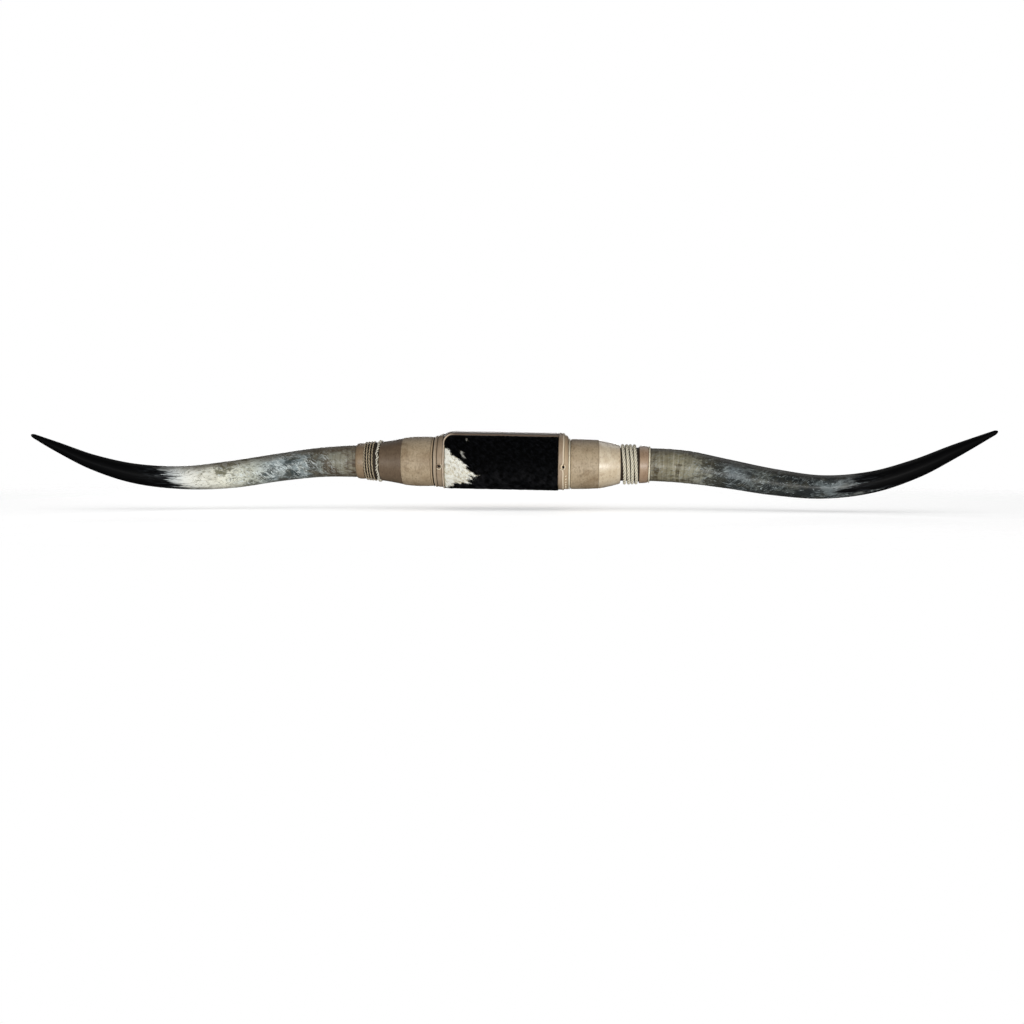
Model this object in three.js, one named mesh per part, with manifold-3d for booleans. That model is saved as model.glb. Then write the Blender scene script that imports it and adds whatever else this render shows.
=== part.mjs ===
// Longhorn horn mount for a wall: two polished horns on a leather and cowhide middle.
// Millimetres. X runs along the horns, Z is up, the wall is the plane Y = 0 and the front faces -Y.
import * as THREE from 'three';
import Module from 'manifold-3d';

const wasm = await Module();
wasm.setup();

// Clearance between pieces that touch.
const GAP = 0.3;

// Middle block: a leather-covered core with a D-shaped section, flat side to the wall.
const AXIS_DEPTH = 54; // from the wall to the axis of the sleeves and the block
const BLOCK_HALF_HEIGHT = 53.6;
const BLOCK_FRONT_REACH = 52; // from the axis to the front
const BLOCK_BACK_REACH = 52.5; // from the axis to the leather at the back
const FRONT_ROUNDNESS = 2.8; // exponent of the section's front half, 2 is an ellipse
const BACK_ROUNDNESS = 7;
const BLOCK_LEFT = -109.2;
const BLOCK_RIGHT = 111.2;
const BLOCK_END = 129.6; // where both end bands stop
const LEAN_DEG = 1; // the block leans this much, its right end low
const SHOULDER_LEFT = [-129, -92]; // the left end swells slowly to full height
const SHOULDER_RIGHT = [110, 130]; // the right end rounds off quickly

// Sleeves start as circles round this point of the block's end.
const SLEEVE_RADIUS = 47.4;
const SLEEVE_DROP = 5.2; // sleeve axis below the block's middle
const PLANE_BLEND = [112, 130]; // sections turn from the block's planes to the arm's

// Arms: distance from the middle, distance from the wall, height.
const ARM_LEFT = {
  side: -1,
  path: [
    [110, 54, -3.0], [200, 49.5, -2.9], [277, 44.5, -2.8], [350, 45.5, -5.4], [430, 54, -15.2],
    [520, 67, -28.5], [610, 81, -34.2], [700, 93, -26.3], [780, 101, -4.3], [850, 105, 25.9],
    [899.6, 106, 48.7],
  ],
};
const ARM_RIGHT = {
  side: 1,
  path: [
    [110, 54, -7.2], [200, 51.8, -8.0], [284, 49.5, -8.4], [350, 51.5, -12.2], [430, 60.5, -24.9],
    [520, 74, -40.2], [610, 88, -48.3], [700, 99, -38.2], [780, 106, -12.4], [850, 109, 20.3],
    [929.4, 110, 57.7],
  ],
};

// Horns: distance from the middle, diameter.
const HORN_LEFT_GIRTH = [
  [277.9, 61.6], [350, 57], [430, 53.7], [520, 52.6], [610, 44.8], [700, 38.3], [780, 29.4],
  [850, 18.5], [899.6, 7],
];
const HORN_RIGHT_GIRTH = [
  [286, 63.2], [350, 62.5], [430, 55.6], [520, 50.2], [610, 44.4], [700, 40.6], [780, 35.4],
  [850, 25.4], [929.4, 7.5],
];
const TIP_ROUND = 7; // length of the rounded end of a horn
const HORN_SIDES = 22;
const HORN_RINGS = 40;
const SLEEVE_SIDES = 40;

// Profiles of the turned leather pieces: distance from the middle, radius.
const SLEEVE_INNER_LEFT = [
  [130.1, 45.8], [131.2, 47.2], [156, 47.4], [170, 47.1], [177, 46.5], [186.4, 45.1], [187.2, 44.6],
];
const SLEEVE_OUTER_LEFT = [
  [187.5, 44.4], [188.6, 44.6], [200, 42.2], [212, 40.1], [224, 38.3], [229.4, 37.5], [230.2, 36.6],
];
const COLLAR_LEFT = [
  [230.5, 35], [235.6, 35], [237, 36.3], [243, 35.7], [259, 33.6], [264, 34.2], [270, 34.2],
  [275.6, 32.9], [277.6, 31.8],
];
const SLEEVE_INNER_RIGHT = [
  [130.1, 45], [133.6, 45], [134, 47.6], [137, 48], [152, 47.8], [171, 47.4], [186.8, 46.5],
];
const SLEEVE_OUTER_RIGHT = [
  [187.1, 46.3], [198, 44.4], [209, 42], [220, 39], [226.6, 37.4], [228.2, 36.2],
];
const COLLAR_RIGHT = [
  [228.5, 31.8], [264.3, 31.8], [264.8, 34.8], [266, 35.8], [271, 35.9], [278, 35.2],
  [281.2, 34.4], [281.7, 31], [285.7, 31],
];

// Cords: distance from the middle of the first turn's centre, pitch, turns, cord radius, ring radius.
const LASHING_LEFT = { start: 243.3, pitch: 5.2, turns: 4, cord: 1.15, radius: 37.5, last: 35.6 };
const LASHING_RIGHT = { start: 235.4, pitch: 7.3, turns: 4, cord: 3, radius: 35.8, last: 35.4 };
const LACE_LEFT = { at: 233.2, cord: 2.3, radius: 37.8 };
const PIPING_RIGHT = { at: 131.9, cord: 1.4, radius: 46.9 };
const COLLAR_PIPING_RIGHT = { at: 283.8, cord: 1.6, radius: 33 };

// Cowhide panel over the front and the underside of the block.
const HIDE_LEFT = -105.6;
const HIDE_RIGHT = 110.7;
const HIDE_TOP_DEG = 52; // upper edge, measured from the front round the section
const HIDE_UNDER_DEG = -128; // lower edge, behind the underside
const HIDE_CORNER = 14; // rounding of the upper left corner
const HIDE_COLUMNS = [HIDE_LEFT, -101, -96.5, -92, -40, HIDE_RIGHT];
const HIDE_LIFT = [0.7, 2.9];
const HIDE_CORD = { at: -107.3, cord: 1.25, lift: 2, topDeg: 54.5 };

// Back board, let into the block, with a saw-tooth hanger in a shallow recess.
const BOARD = { length: 196, height: 78, depth: 15 };
const HANGER_RECESS = { length: 64, height: 20, depth: 3.4, rise: 22 };
const HANGER = { length: 58, height: 13, thick: 1.2, teeth: 9, tooth: 3.2 };

// Nails sunk in the end bands: distance from the middle, height on the band, hole and head sizes.
const NAIL_LEFT = { x: -114.9, z: -9.6 };
const NAIL_RIGHT = { x: 120.3, z: -8.9 };
const NAIL_HOLE = { radius: 2.7, depth: 13 };
const NAIL = { head: 2.3, shank: 1.3, length: 11, sunk: 1.6 };

const rad = THREE.MathUtils.degToRad;
const clamp = THREE.MathUtils.clamp;
const LEAN = rad(LEAN_DEG);

// Smooth value of a column of a station table at distance x, with the slope at that place.
function along(table, column, x) {
  let i = 0;
  while (i < table.length - 2 && x > table[i + 1][0]) i++;
  const slope = (k) => {
    const a = table[Math.max(k - 1, 0)];
    const b = table[Math.min(k + 1, table.length - 1)];
    return (b[column] - a[column]) / (b[0] - a[0]);
  };
  const [p, q] = [table[i], table[i + 1]];
  const h = q[0] - p[0];
  const t = (x - p[0]) / h;
  const [m, n] = [slope(i) * h, slope(i + 1) * h];
  const d = q[column] - p[column];
  const value = p[column] + t * (m + t * (3 * d - 2 * m - n + t * (m + n - 2 * d)));
  return { value, slope: (m + t * (2 * (3 * d - 2 * m - n) + 3 * t * (m + n - 2 * d))) / h };
}

// Centre of an arm at distance x, and the directions towards its front and its top there.
function armFrame(arm, x) {
  const forward = along(arm.path, 1, x);
  const height = along(arm.path, 2, x);
  const centre = new THREE.Vector3(arm.side * x, -forward.value, height.value);
  const run = new THREE.Vector3(arm.side, -forward.slope, height.slope).normalize();
  const front = new THREE.Vector3(0, -1, 0).addScaledVector(run, run.y).normalize();
  const top = new THREE.Vector3().crossVectors(front, run).multiplyScalar(arm.side);
  return { centre, run, front, top };
}

// Point of an arm's ring, by angle from the front over the top.
function armPoint(arm, x, radius, angle) {
  const { centre, front, top } = armFrame(arm, x);
  return centre
    .addScaledVector(front, radius * Math.cos(angle))
    .addScaledVector(top, radius * Math.sin(angle));
}

// Radius of the block's D-shaped section at an angle from the front.
function blockRadius(angle) {
  const c = Math.abs(Math.cos(angle));
  const s = Math.abs(Math.sin(angle)) / BLOCK_HALF_HEIGHT;
  const front = Math.cos(angle) >= 0;
  const n = front ? FRONT_ROUNDNESS : BACK_ROUNDNESS;
  const reach = front ? BLOCK_FRONT_REACH : BLOCK_BACK_REACH;
  return ((c / reach) ** n + s ** n) ** (-1 / n);
}

// How far the section has swollen from the sleeve's circle (0) to the full block (1).
function fullness(x) {
  if (x < 0) return THREE.MathUtils.smoothstep(x, ...SHOULDER_LEFT);
  const t = clamp((x - SHOULDER_RIGHT[0]) / (SHOULDER_RIGHT[1] - SHOULDER_RIGHT[0]), 0, 1);
  return Math.sqrt(1 - t * t);
}

// Point of the block at x, at an angle from the front, lifted off the leather or drawn in to
// a share of the radius.
function blockPoint(x, angle, lift = 0, share = 1) {
  const full = fullness(x);
  const round = SLEEVE_RADIUS + lift;
  const square = blockRadius(angle) + lift;
  const radius = (a) => a * share;
  const out = (1 - full) * radius(round) + full * radius(square);
  const drop = SLEEVE_DROP * (1 - full);
  const local = new THREE.Vector3(x, -AXIS_DEPTH - out * Math.cos(angle), out * Math.sin(angle) - drop);
  const point = lean(local);
  const turn = clamp((Math.abs(x) - PLANE_BLEND[0]) / (PLANE_BLEND[1] - PLANE_BLEND[0]), 0, 1);
  if (turn > 0) {
    const { centre, run } = armFrame(x < 0 ? ARM_LEFT : ARM_RIGHT, Math.abs(x));
    const inPlane =
      centre.x - (run.y * (point.y - centre.y) + run.z * (point.z - centre.z)) / run.x;
    point.x += turn * (inPlane - point.x);
  }
  return point;
}

// Tips a point of the level block about the Y axis, right end down.
function lean(point) {
  return point.clone().applyAxisAngle(new THREE.Vector3(0, 1, 0), LEAN);
}

// Moves every vertex of a geometry, and turns its faces outwards again where that flipped them.
function reshape(geometry, place) {
  const position = geometry.attributes.position;
  const v = new THREE.Vector3();
  for (let i = 0; i < position.count; i++) {
    v.fromBufferAttribute(position, i);
    const p = place(v);
    position.setXYZ(i, p.x, p.y, p.z);
  }
  return facedOutwards(geometry);
}

function facedOutwards(geometry) {
  const position = geometry.attributes.position;
  const index = geometry.index.array;
  const [a, b, c] = [new THREE.Vector3(), new THREE.Vector3(), new THREE.Vector3()];
  let volume = 0;
  for (let i = 0; i < index.length; i += 3) {
    a.fromBufferAttribute(position, index[i]);
    b.fromBufferAttribute(position, index[i + 1]);
    c.fromBufferAttribute(position, index[i + 2]);
    volume += a.dot(b.cross(c));
  }
  if (volume < 0) {
    for (let i = 0; i < index.length; i += 3) {
      [index[i + 1], index[i + 2]] = [index[i + 2], index[i + 1]];
    }
  }
  geometry.computeVertexNormals();
  return geometry;
}

// Turned solid that follows an arm.
function turnedAlong(arm, profile, sides) {
  const points = [[profile[0][0], 0], ...profile, [profile[profile.length - 1][0], 0]];
  const lathe = new THREE.LatheGeometry(
    points.map(([x, radius]) => new THREE.Vector2(radius, x)),
    sides,
  );
  return reshape(lathe, (v) => armPoint(arm, v.y, Math.hypot(v.x, v.z), Math.atan2(v.z, v.x)));
}

// Horn: a turned solid whose radius follows the girth table and closes in a round tip.
function hornSolid(arm, girth) {
  const from = girth[0][0];
  const to = girth[girth.length - 1][0];
  const radiusAt = (x) => {
    const past = clamp((x - (to - TIP_ROUND)) / TIP_ROUND, 0, 1);
    return (along(girth, 1, x).value / 2) * Math.sqrt(1 - past * past);
  };
  const profile = [];
  for (let i = 0; i < HORN_RINGS - 4; i++) {
    const x = from + ((to - TIP_ROUND - from) * i) / (HORN_RINGS - 4);
    profile.push([x, radiusAt(x)]);
  }
  for (const share of [0, 0.45, 0.75, 0.93]) {
    const x = to - TIP_ROUND * (1 - share);
    profile.push([x, radiusAt(x)]);
  }
  const points = [[from, 0], ...profile, [to, 0]];
  const lathe = new THREE.LatheGeometry(
    points.map(([x, radius]) => new THREE.Vector2(radius, x)),
    HORN_SIDES,
  );
  return reshape(lathe, (v) => armPoint(arm, v.y, Math.hypot(v.x, v.z), Math.atan2(v.z, v.x)));
}

// Closed cord ring round an arm.
function cordRing(arm, ring, around, sides) {
  const torus = new THREE.TorusGeometry(ring.radius, ring.cord, sides, around);
  return reshape(torus, (v) => armPoint(arm, ring.at + v.z, Math.hypot(v.x, v.y), Math.atan2(v.y, v.x)));
}

// Cord wound in a helix round an arm, both ends at the back.
function cordHelix(arm, winding, stepsPerTurn, sides) {
  const steps = winding.turns * stepsPerTurn;
  const tube = new THREE.CylinderGeometry(1, 1, 1, sides, steps, false);
  return reshape(tube, (v) => {
    const t = v.y + 0.5;
    const x = winding.start - winding.pitch / 2 + winding.turns * winding.pitch * t;
    const radius = winding.radius + (winding.last - winding.radius) * t;
    const angle = Math.PI + 2 * Math.PI * winding.turns * t;
    return armPoint(arm, x + winding.cord * v.x, radius + winding.cord * v.z, angle);
  });
}

// Length of the block between two stations, each a place on X and a lift off the leather.
function blockLength(stations, sides) {
  const tube = new THREE.CylinderGeometry(1, 1, 1, sides, stations.length - 1, false);
  return reshape(tube, (v) => {
    const [x, lift] = stations[Math.round((v.y + 0.5) * (stations.length - 1))];
    return blockPoint(x, Math.atan2(v.z, v.x), lift, Math.hypot(v.x, v.z));
  });
}

function bandLeft() {
  return blockLength(
    [[-BLOCK_END, -1.2], [-128.8, 0.1], [-126.6, 0.7], [-124.2, 0.5], [-122.6, 0], [-120.4, 0.7],
      [-115, 0.8], [BLOCK_LEFT - GAP, 0.6]],
    56,
  );
}

function bandRight() {
  const stations = [[BLOCK_RIGHT + GAP, 0.6]];
  for (const deg of [22, 36, 50, 63, 75]) {
    const x = SHOULDER_RIGHT[0] + (SHOULDER_RIGHT[1] - SHOULDER_RIGHT[0]) * Math.sin(rad(deg));
    stations.push([x, 0.4]);
  }
  stations.push([BLOCK_END, -1.2]);
  return blockLength(stations, 56);
}

function blockBody() {
  const stations = [BLOCK_LEFT, ...HIDE_COLUMNS.slice(0, -1), BLOCK_RIGHT].map((x) => [x, 0]);
  const body = blockLength(stations, 56);
  return cut(body, [leanedBox(BOARD.length + 2 * GAP, BOARD.height + 2 * GAP, BOARD.depth + GAP, 0, 6)]);
}

// Angle at which a row of the hide lies, with closer rows round the upper corner.
function hideAngle(v) {
  return rad(HIDE_TOP_DEG - (HIDE_TOP_DEG - HIDE_UNDER_DEG) * (1 - v) ** 1.5);
}

// How far the rounded upper left corner draws the hide's edge in at an angle.
function cornerInset(angle) {
  const below = (rad(HIDE_TOP_DEG) - angle) * (BLOCK_HALF_HEIGHT + 4);
  if (below >= HIDE_CORNER) return 0;
  const up = HIDE_CORNER - Math.max(below, 0);
  return HIDE_CORNER - Math.sqrt(HIDE_CORNER ** 2 - up ** 2);
}

function hidePanel() {
  const columns = HIDE_COLUMNS.length - 1;
  const sheet = new THREE.BoxGeometry(1, 1, 1, columns, 32, 1);
  return reshape(sheet, (v) => {
    const angle = hideAngle(v.y + 0.5);
    const column = Math.round((v.x + 0.5) * columns);
    const x = Math.max(HIDE_COLUMNS[column], HIDE_LEFT + cornerInset(angle) + column);
    return blockPoint(x, angle, v.z > 0 ? HIDE_LIFT[1] : HIDE_LIFT[0]);
  });
}

// Cord that edges the hide: up its left side, round the corner and along its top.
function hideCord() {
  const top = rad(HIDE_CORD.topDeg);
  const route = [];
  for (let deg = HIDE_UNDER_DEG; deg < HIDE_CORD.topDeg - 22; deg += 12) {
    route.push([HIDE_CORD.at, rad(deg)]);
  }
  const rise = HIDE_CORNER / (BLOCK_HALF_HEIGHT + 4);
  for (const turn of [10, 35, 60, 85]) {
    const a = rad(turn);
    route.push([HIDE_CORD.at + HIDE_CORNER * (1 - Math.cos(a)), top - rise * (1 - Math.sin(a))]);
  }
  for (const x of [-84, -74, -40, 0, 40, 80, HIDE_RIGHT]) route.push([x, top]);
  const path = new THREE.CatmullRomCurve3(route.map(([x, a]) => blockPoint(x, a, HIDE_CORD.lift)));
  const round = new THREE.Shape().absarc(0, 0, HIDE_CORD.cord, 0, 2 * Math.PI);
  const cord = new THREE.ExtrudeGeometry(round, {
    steps: 52,
    curveSegments: 3,
    bevelEnabled: false,
    extrudePath: path,
  });
  return cord;
}

// Box on the wall plane, centred at a height, reaching into the block and past the wall by spare.
function leanedBox(length, height, depth, rise, spare = 0) {
  const box = new THREE.BoxGeometry(length, depth + spare, height);
  box.translate(0, (spare - depth) / 2, rise);
  return box.applyMatrix4(new THREE.Matrix4().makeRotationY(LEAN));
}

function backBoard() {
  const recess = leanedBox(HANGER_RECESS.length, HANGER_RECESS.height, HANGER_RECESS.depth,
    HANGER_RECESS.rise, 4);
  return cut(leanedBox(BOARD.length, BOARD.height, BOARD.depth, 0), [recess]);
}

// Steel strip with teeth along its lower edge, lying on the floor of the recess.
function hangerStrip() {
  const { length, height, thick, teeth, tooth } = HANGER;
  const shape = new THREE.Shape().moveTo(-length / 2, -height / 2);
  const toothed = length - 20;
  for (let i = 0; i < teeth; i++) {
    const x = -toothed / 2 + (toothed * i) / teeth;
    shape.lineTo(x, -height / 2);
    shape.lineTo(x + toothed / teeth / 2, -height / 2 + tooth);
  }
  shape.lineTo(toothed / 2, -height / 2);
  shape.lineTo(length / 2, -height / 2).lineTo(length / 2, height / 2).lineTo(-length / 2, height / 2);
  const strip = new THREE.ExtrudeGeometry(shape, { depth: thick, bevelEnabled: false });
  strip.rotateX(Math.PI / 2);
  strip.translate(0, thick - HANGER_RECESS.depth + GAP, HANGER_RECESS.rise);
  return strip.applyMatrix4(new THREE.Matrix4().makeRotationY(LEAN));
}

// Domed head on an end of the hanger strip.
function hangerPin(side) {
  const base = -HANGER_RECESS.depth + 2 * GAP + HANGER.thick;
  const dome = new THREE.LatheGeometry(
    [[0, 0], [2.6, 0], [2.4, 0.7], [1.5, 1.2], [0, 1.4]].map(([r, h]) => new THREE.Vector2(r, h)),
    16,
  );
  return reshape(dome, (v) => lean(new THREE.Vector3(
    side * (HANGER.length / 2 - 5) + v.x, base + v.y, HANGER_RECESS.rise + v.z,
  )));
}

// Front surface of an end band where a nail goes in.
function nailSeat(nail) {
  const angle = Math.asin(nail.z / BLOCK_HALF_HEIGHT);
  return blockPoint(nail.x, angle, 0.6);
}

function nailHole(nail) {
  const seat = nailSeat(nail);
  const drill = new THREE.CylinderGeometry(NAIL_HOLE.radius, NAIL_HOLE.radius, NAIL_HOLE.depth + 8, 20);
  return drill.translate(seat.x, seat.y + NAIL_HOLE.depth / 2 - 4, seat.z);
}

function nailSolid(nail) {
  const seat = nailSeat(nail);
  const { head, shank, length, sunk } = NAIL;
  const profile = [[0, 0], [head * 0.6, 0.25], [head, 0.9], [head, 1.5], [shank, 1.9],
    [shank, length - 2.5], [0, length]];
  const lathe = new THREE.LatheGeometry(profile.map(([r, h]) => new THREE.Vector2(r, h)), 16);
  return reshape(lathe, (v) => new THREE.Vector3(seat.x + v.x, seat.y + sunk + v.y, seat.z + v.z));
}

function toManifold(geometry) {
  const bare = geometry.clone();
  bare.deleteAttribute('normal');
  bare.deleteAttribute('uv');
  const merged = mergeByPlace(bare);
  return new wasm.Manifold(new wasm.Mesh({
    numProp: 3,
    vertProperties: new Float32Array(merged.points),
    triVerts: new Uint32Array(merged.index),
  }));
}

// Joins vertices at one place and drops faces that this leaves without area.
function mergeByPlace(geometry) {
  const position = geometry.attributes.position;
  const found = new Map();
  const points = [];
  const same = [];
  for (let i = 0; i < position.count; i++) {
    const place = [position.getX(i), position.getY(i), position.getZ(i)];
    const key = place.map((n) => Math.round(n * 1e4)).join();
    if (!found.has(key)) {
      found.set(key, points.length / 3);
      points.push(...place);
    }
    same.push(found.get(key));
  }
  const order = geometry.index ? [...geometry.index.array] : same.map((_, i) => i);
  const index = [];
  for (let i = 0; i < order.length; i += 3) {
    const [a, b, c] = [same[order[i]], same[order[i + 1]], same[order[i + 2]]];
    if (a !== b && b !== c && c !== a) index.push(a, b, c);
  }
  return { points, index };
}

function fromManifold(solid) {
  const mesh = solid.getMesh();
  const geometry = new THREE.BufferGeometry();
  geometry.setAttribute('position', new THREE.BufferAttribute(new Float32Array(mesh.vertProperties), 3));
  geometry.setIndex(new THREE.BufferAttribute(new Uint32Array(mesh.triVerts), 1));
  geometry.computeVertexNormals();
  return geometry;
}

function cut(geometry, tools) {
  return fromManifold(tools.reduce((solid, tool) => solid.subtract(toManifold(tool)), toManifold(geometry)));
}

const FINISH = {
  horn: { color: 0x8b877b, roughness: 0.28, metalness: 0 },
  tan: { color: 0x9a8a72, roughness: 0.6, metalness: 0 },
  taupe: { color: 0x6b5a4a, roughness: 0.55, metalness: 0 },
  rawhide: { color: 0xb5a283, roughness: 0.42, metalness: 0 },
  cord: { color: 0xe6dcc0, roughness: 0.85, metalness: 0 },
  thong: { color: 0xc0a67e, roughness: 0.75, metalness: 0 },
  hide: { color: 0x15120f, roughness: 0.7, metalness: 0 },
  board: { color: 0xa9855a, roughness: 0.75, metalness: 0 },
  steel: { color: 0x9a9c9e, roughness: 0.4, metalness: 0.9 },
  nail: { color: 0x2b2520, roughness: 0.45, metalness: 0.8 },
};

function node(name, geometry, finish) {
  const bare = mergeByPlace(geometry);
  const clean = new THREE.BufferGeometry();
  clean.setAttribute('position', new THREE.Float32BufferAttribute(bare.points, 3));
  clean.setIndex(bare.index);
  clean.computeVertexNormals();
  const mesh = new THREE.Mesh(clean, new THREE.MeshStandardMaterial(FINISH[finish]));
  mesh.name = name;
  return mesh;
}

const mount = new THREE.Group();
mount.name = 'longhorn_mount';
mount.add(
  node('horn_left', hornSolid(ARM_LEFT, HORN_LEFT_GIRTH), 'horn'),
  node('horn_right', hornSolid(ARM_RIGHT, HORN_RIGHT_GIRTH), 'horn'),
  node('collar_left', turnedAlong(ARM_LEFT, COLLAR_LEFT, SLEEVE_SIDES), 'tan'),
  node('lashing_left', cordHelix(ARM_LEFT, LASHING_LEFT, 26, 5), 'thong'),
  node('lace_left', cordRing(ARM_LEFT, LACE_LEFT, 36, 6), 'cord'),
  node('sleeve_outer_left', turnedAlong(ARM_LEFT, SLEEVE_OUTER_LEFT, SLEEVE_SIDES), 'taupe'),
  node('sleeve_inner_left', turnedAlong(ARM_LEFT, SLEEVE_INNER_LEFT, SLEEVE_SIDES), 'tan'),
  node('band_left', cut(bandLeft(), [nailHole(NAIL_LEFT)]), 'tan'),
  node('nail_left', nailSolid(NAIL_LEFT), 'nail'),
  node('block_body', blockBody(), 'tan'),
  node('hide_panel', hidePanel(), 'hide'),
  node('hide_cord', hideCord(), 'cord'),
  node('back_board', backBoard(), 'board'),
  node('hanger_strip', hangerStrip(), 'steel'),
  node('hanger_pin_left', hangerPin(-1), 'steel'),
  node('hanger_pin_right', hangerPin(1), 'steel'),
  node('band_right', cut(bandRight(), [nailHole(NAIL_RIGHT)]), 'tan'),
  node('nail_right', nailSolid(NAIL_RIGHT), 'nail'),
  node('piping_right', cordRing(ARM_RIGHT, PIPING_RIGHT, 36, 6), 'cord'),
  node('sleeve_inner_right', turnedAlong(ARM_RIGHT, SLEEVE_INNER_RIGHT, SLEEVE_SIDES), 'tan'),
  node('sleeve_outer_right', turnedAlong(ARM_RIGHT, SLEEVE_OUTER_RIGHT, SLEEVE_SIDES), 'rawhide'),
  node('lashing_right', cordHelix(ARM_RIGHT, LASHING_RIGHT, 30, 6), 'cord'),
  node('collar_right', turnedAlong(ARM_RIGHT, COLLAR_RIGHT, SLEEVE_SIDES), 'tan'),
  node('collar_piping_right', cordRing(ARM_RIGHT, COLLAR_PIPING_RIGHT, 36, 6), 'cord'),
);

export default mount;
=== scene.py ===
"""Looks for the longhorn horn mount: horns, leather sleeves, cowhide panel, cords, back board and studio.

Metres, +Z up, the wall is the plane Y = 0 and the front faces -Y. Shapes are worked out in millimetres
with the same stations as the solids and turned into metres when a mesh is made.
"""
import math

import bmesh
import bpy
import numpy as np
from bpy.props import FloatProperty, FloatVectorProperty, IntProperty, PointerProperty
from mathutils import Color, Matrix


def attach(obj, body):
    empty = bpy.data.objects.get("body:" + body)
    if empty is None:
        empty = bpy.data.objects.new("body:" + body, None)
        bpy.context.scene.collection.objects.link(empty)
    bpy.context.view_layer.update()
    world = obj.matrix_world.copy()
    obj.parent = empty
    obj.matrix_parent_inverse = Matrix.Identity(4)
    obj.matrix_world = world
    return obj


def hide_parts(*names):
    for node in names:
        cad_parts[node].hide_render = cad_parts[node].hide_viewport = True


bl_info = {
    "name": "Longhorn horn mount",
    "version": (1, 0, 0),
    "blender": (4, 5, 0),
    "location": "3D View > Sidebar > Horn mount",
    "description": "Dresses a wall mount of two polished horns on a leather and cowhide middle",
    "category": "Object",
}

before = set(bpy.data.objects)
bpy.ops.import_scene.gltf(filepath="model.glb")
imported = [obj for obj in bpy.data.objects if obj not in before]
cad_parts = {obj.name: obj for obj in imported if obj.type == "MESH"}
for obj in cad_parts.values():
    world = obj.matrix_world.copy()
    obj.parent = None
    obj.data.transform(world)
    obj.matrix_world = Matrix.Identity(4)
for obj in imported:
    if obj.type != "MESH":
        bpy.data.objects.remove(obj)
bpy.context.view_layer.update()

MM = 0.001

# Middle block, in millimetres.
AXIS_DEPTH = 54
BLOCK_HALF_HEIGHT = 53.6
BLOCK_FRONT_REACH = 52
BLOCK_BACK_REACH = 52.5
FRONT_ROUNDNESS = 2.8
BACK_ROUNDNESS = 7
BLOCK_LEFT = -109.2
BLOCK_RIGHT = 111.2
LEAN = math.radians(1)
SHOULDER_LEFT = (-129, -92)
SHOULDER_RIGHT = (110, 130)
SLEEVE_RADIUS = 47.4
SLEEVE_DROP = 5.2
PLANE_BLEND = (112, 130)

# Arms: side, then distance from the middle, distance from the wall, height.
ARM_LEFT = (-1, [
    (110, 54, -3.0), (200, 49.5, -2.9), (277, 44.5, -2.8), (350, 45.5, -5.4), (430, 54, -15.2),
    (520, 67, -28.5), (610, 81, -34.2), (700, 93, -26.3), (780, 101, -4.3), (850, 105, 25.9),
    (899.6, 106, 48.7)])
ARM_RIGHT = (1, [
    (110, 54, -7.2), (200, 51.8, -8.0), (284, 49.5, -8.4), (350, 51.5, -12.2), (430, 60.5, -24.9),
    (520, 74, -40.2), (610, 88, -48.3), (700, 99, -38.2), (780, 106, -12.4), (850, 109, 20.3),
    (929.4, 110, 57.7)])

# Horns: distance from the middle, diameter.
HORN_LEFT_GIRTH = [
    (272, 61.4), (277.9, 61.6), (350, 57), (430, 53.7), (520, 52.6), (610, 44.8), (700, 38.3),
    (780, 29.4), (850, 18.5), (899.6, 7)]
HORN_RIGHT_GIRTH = [
    (286, 63.2), (350, 62.5), (430, 55.6), (520, 50.2), (610, 44.4), (700, 40.6), (780, 35.4),
    (850, 25.4), (929.4, 7.5)]
TIP_ROUND = 7

# Leather pieces: distance from the middle, radius.
SLEEVE_INNER_LEFT = [
    (130.1, 44.6), (130.2, 45.9), (131.2, 47.1), (134, 47.5), (156, 47.5), (170, 47.1), (177, 46.5),
    (185.6, 45.4), (186.6, 45.1), (187.2, 44.7), (187.3, 43.8)]
SLEEVE_OUTER_LEFT = [
    (187.5, 43.8), (187.6, 44.3), (188.6, 44.4), (200, 42.2), (212, 40.1), (224, 38.3), (229.4, 37.5),
    (230.2, 36.6), (230.3, 35.4)]
COLLAR_LEFT = [
    (230.5, 34.6), (235.6, 34.8), (236.2, 36.0), (237.2, 36.2), (243, 35.6), (259, 33.5), (261, 33.9),
    (264, 34.4), (270, 34.5), (274, 34.0), (277.2, 33.0), (277.9, 32.2), (277.4, 31.3), (273.5, 31.1),
    (273, 30.9)]
SLEEVE_INNER_RIGHT = [
    (129.7, 38.5), (129.75, 42.6), (130.1, 43.4), (130.2, 45), (133.6, 45), (133.7, 46.8),
    (134.4, 47.7), (137, 48), (152, 47.8), (171, 47.4), (185.8, 46.6), (186.7, 46.3), (186.8, 45.4)]
SLEEVE_OUTER_RIGHT = [
    (187.1, 45.4), (187.2, 46.3), (188.2, 46.5), (198, 44.5), (209, 42.1), (220, 39.1), (226.6, 37.4),
    (227.9, 36.4), (228.2, 35.2)]
COLLAR_RIGHT = [
    (228.5, 31.6), (264.2, 31.8), (264.4, 34.6), (265, 35.6), (266.4, 35.9), (271, 35.9), (278, 35.3),
    (281, 34.7), (281.6, 33.8), (281.7, 31.2), (285.6, 31.1), (285.7, 30.4)]

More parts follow.
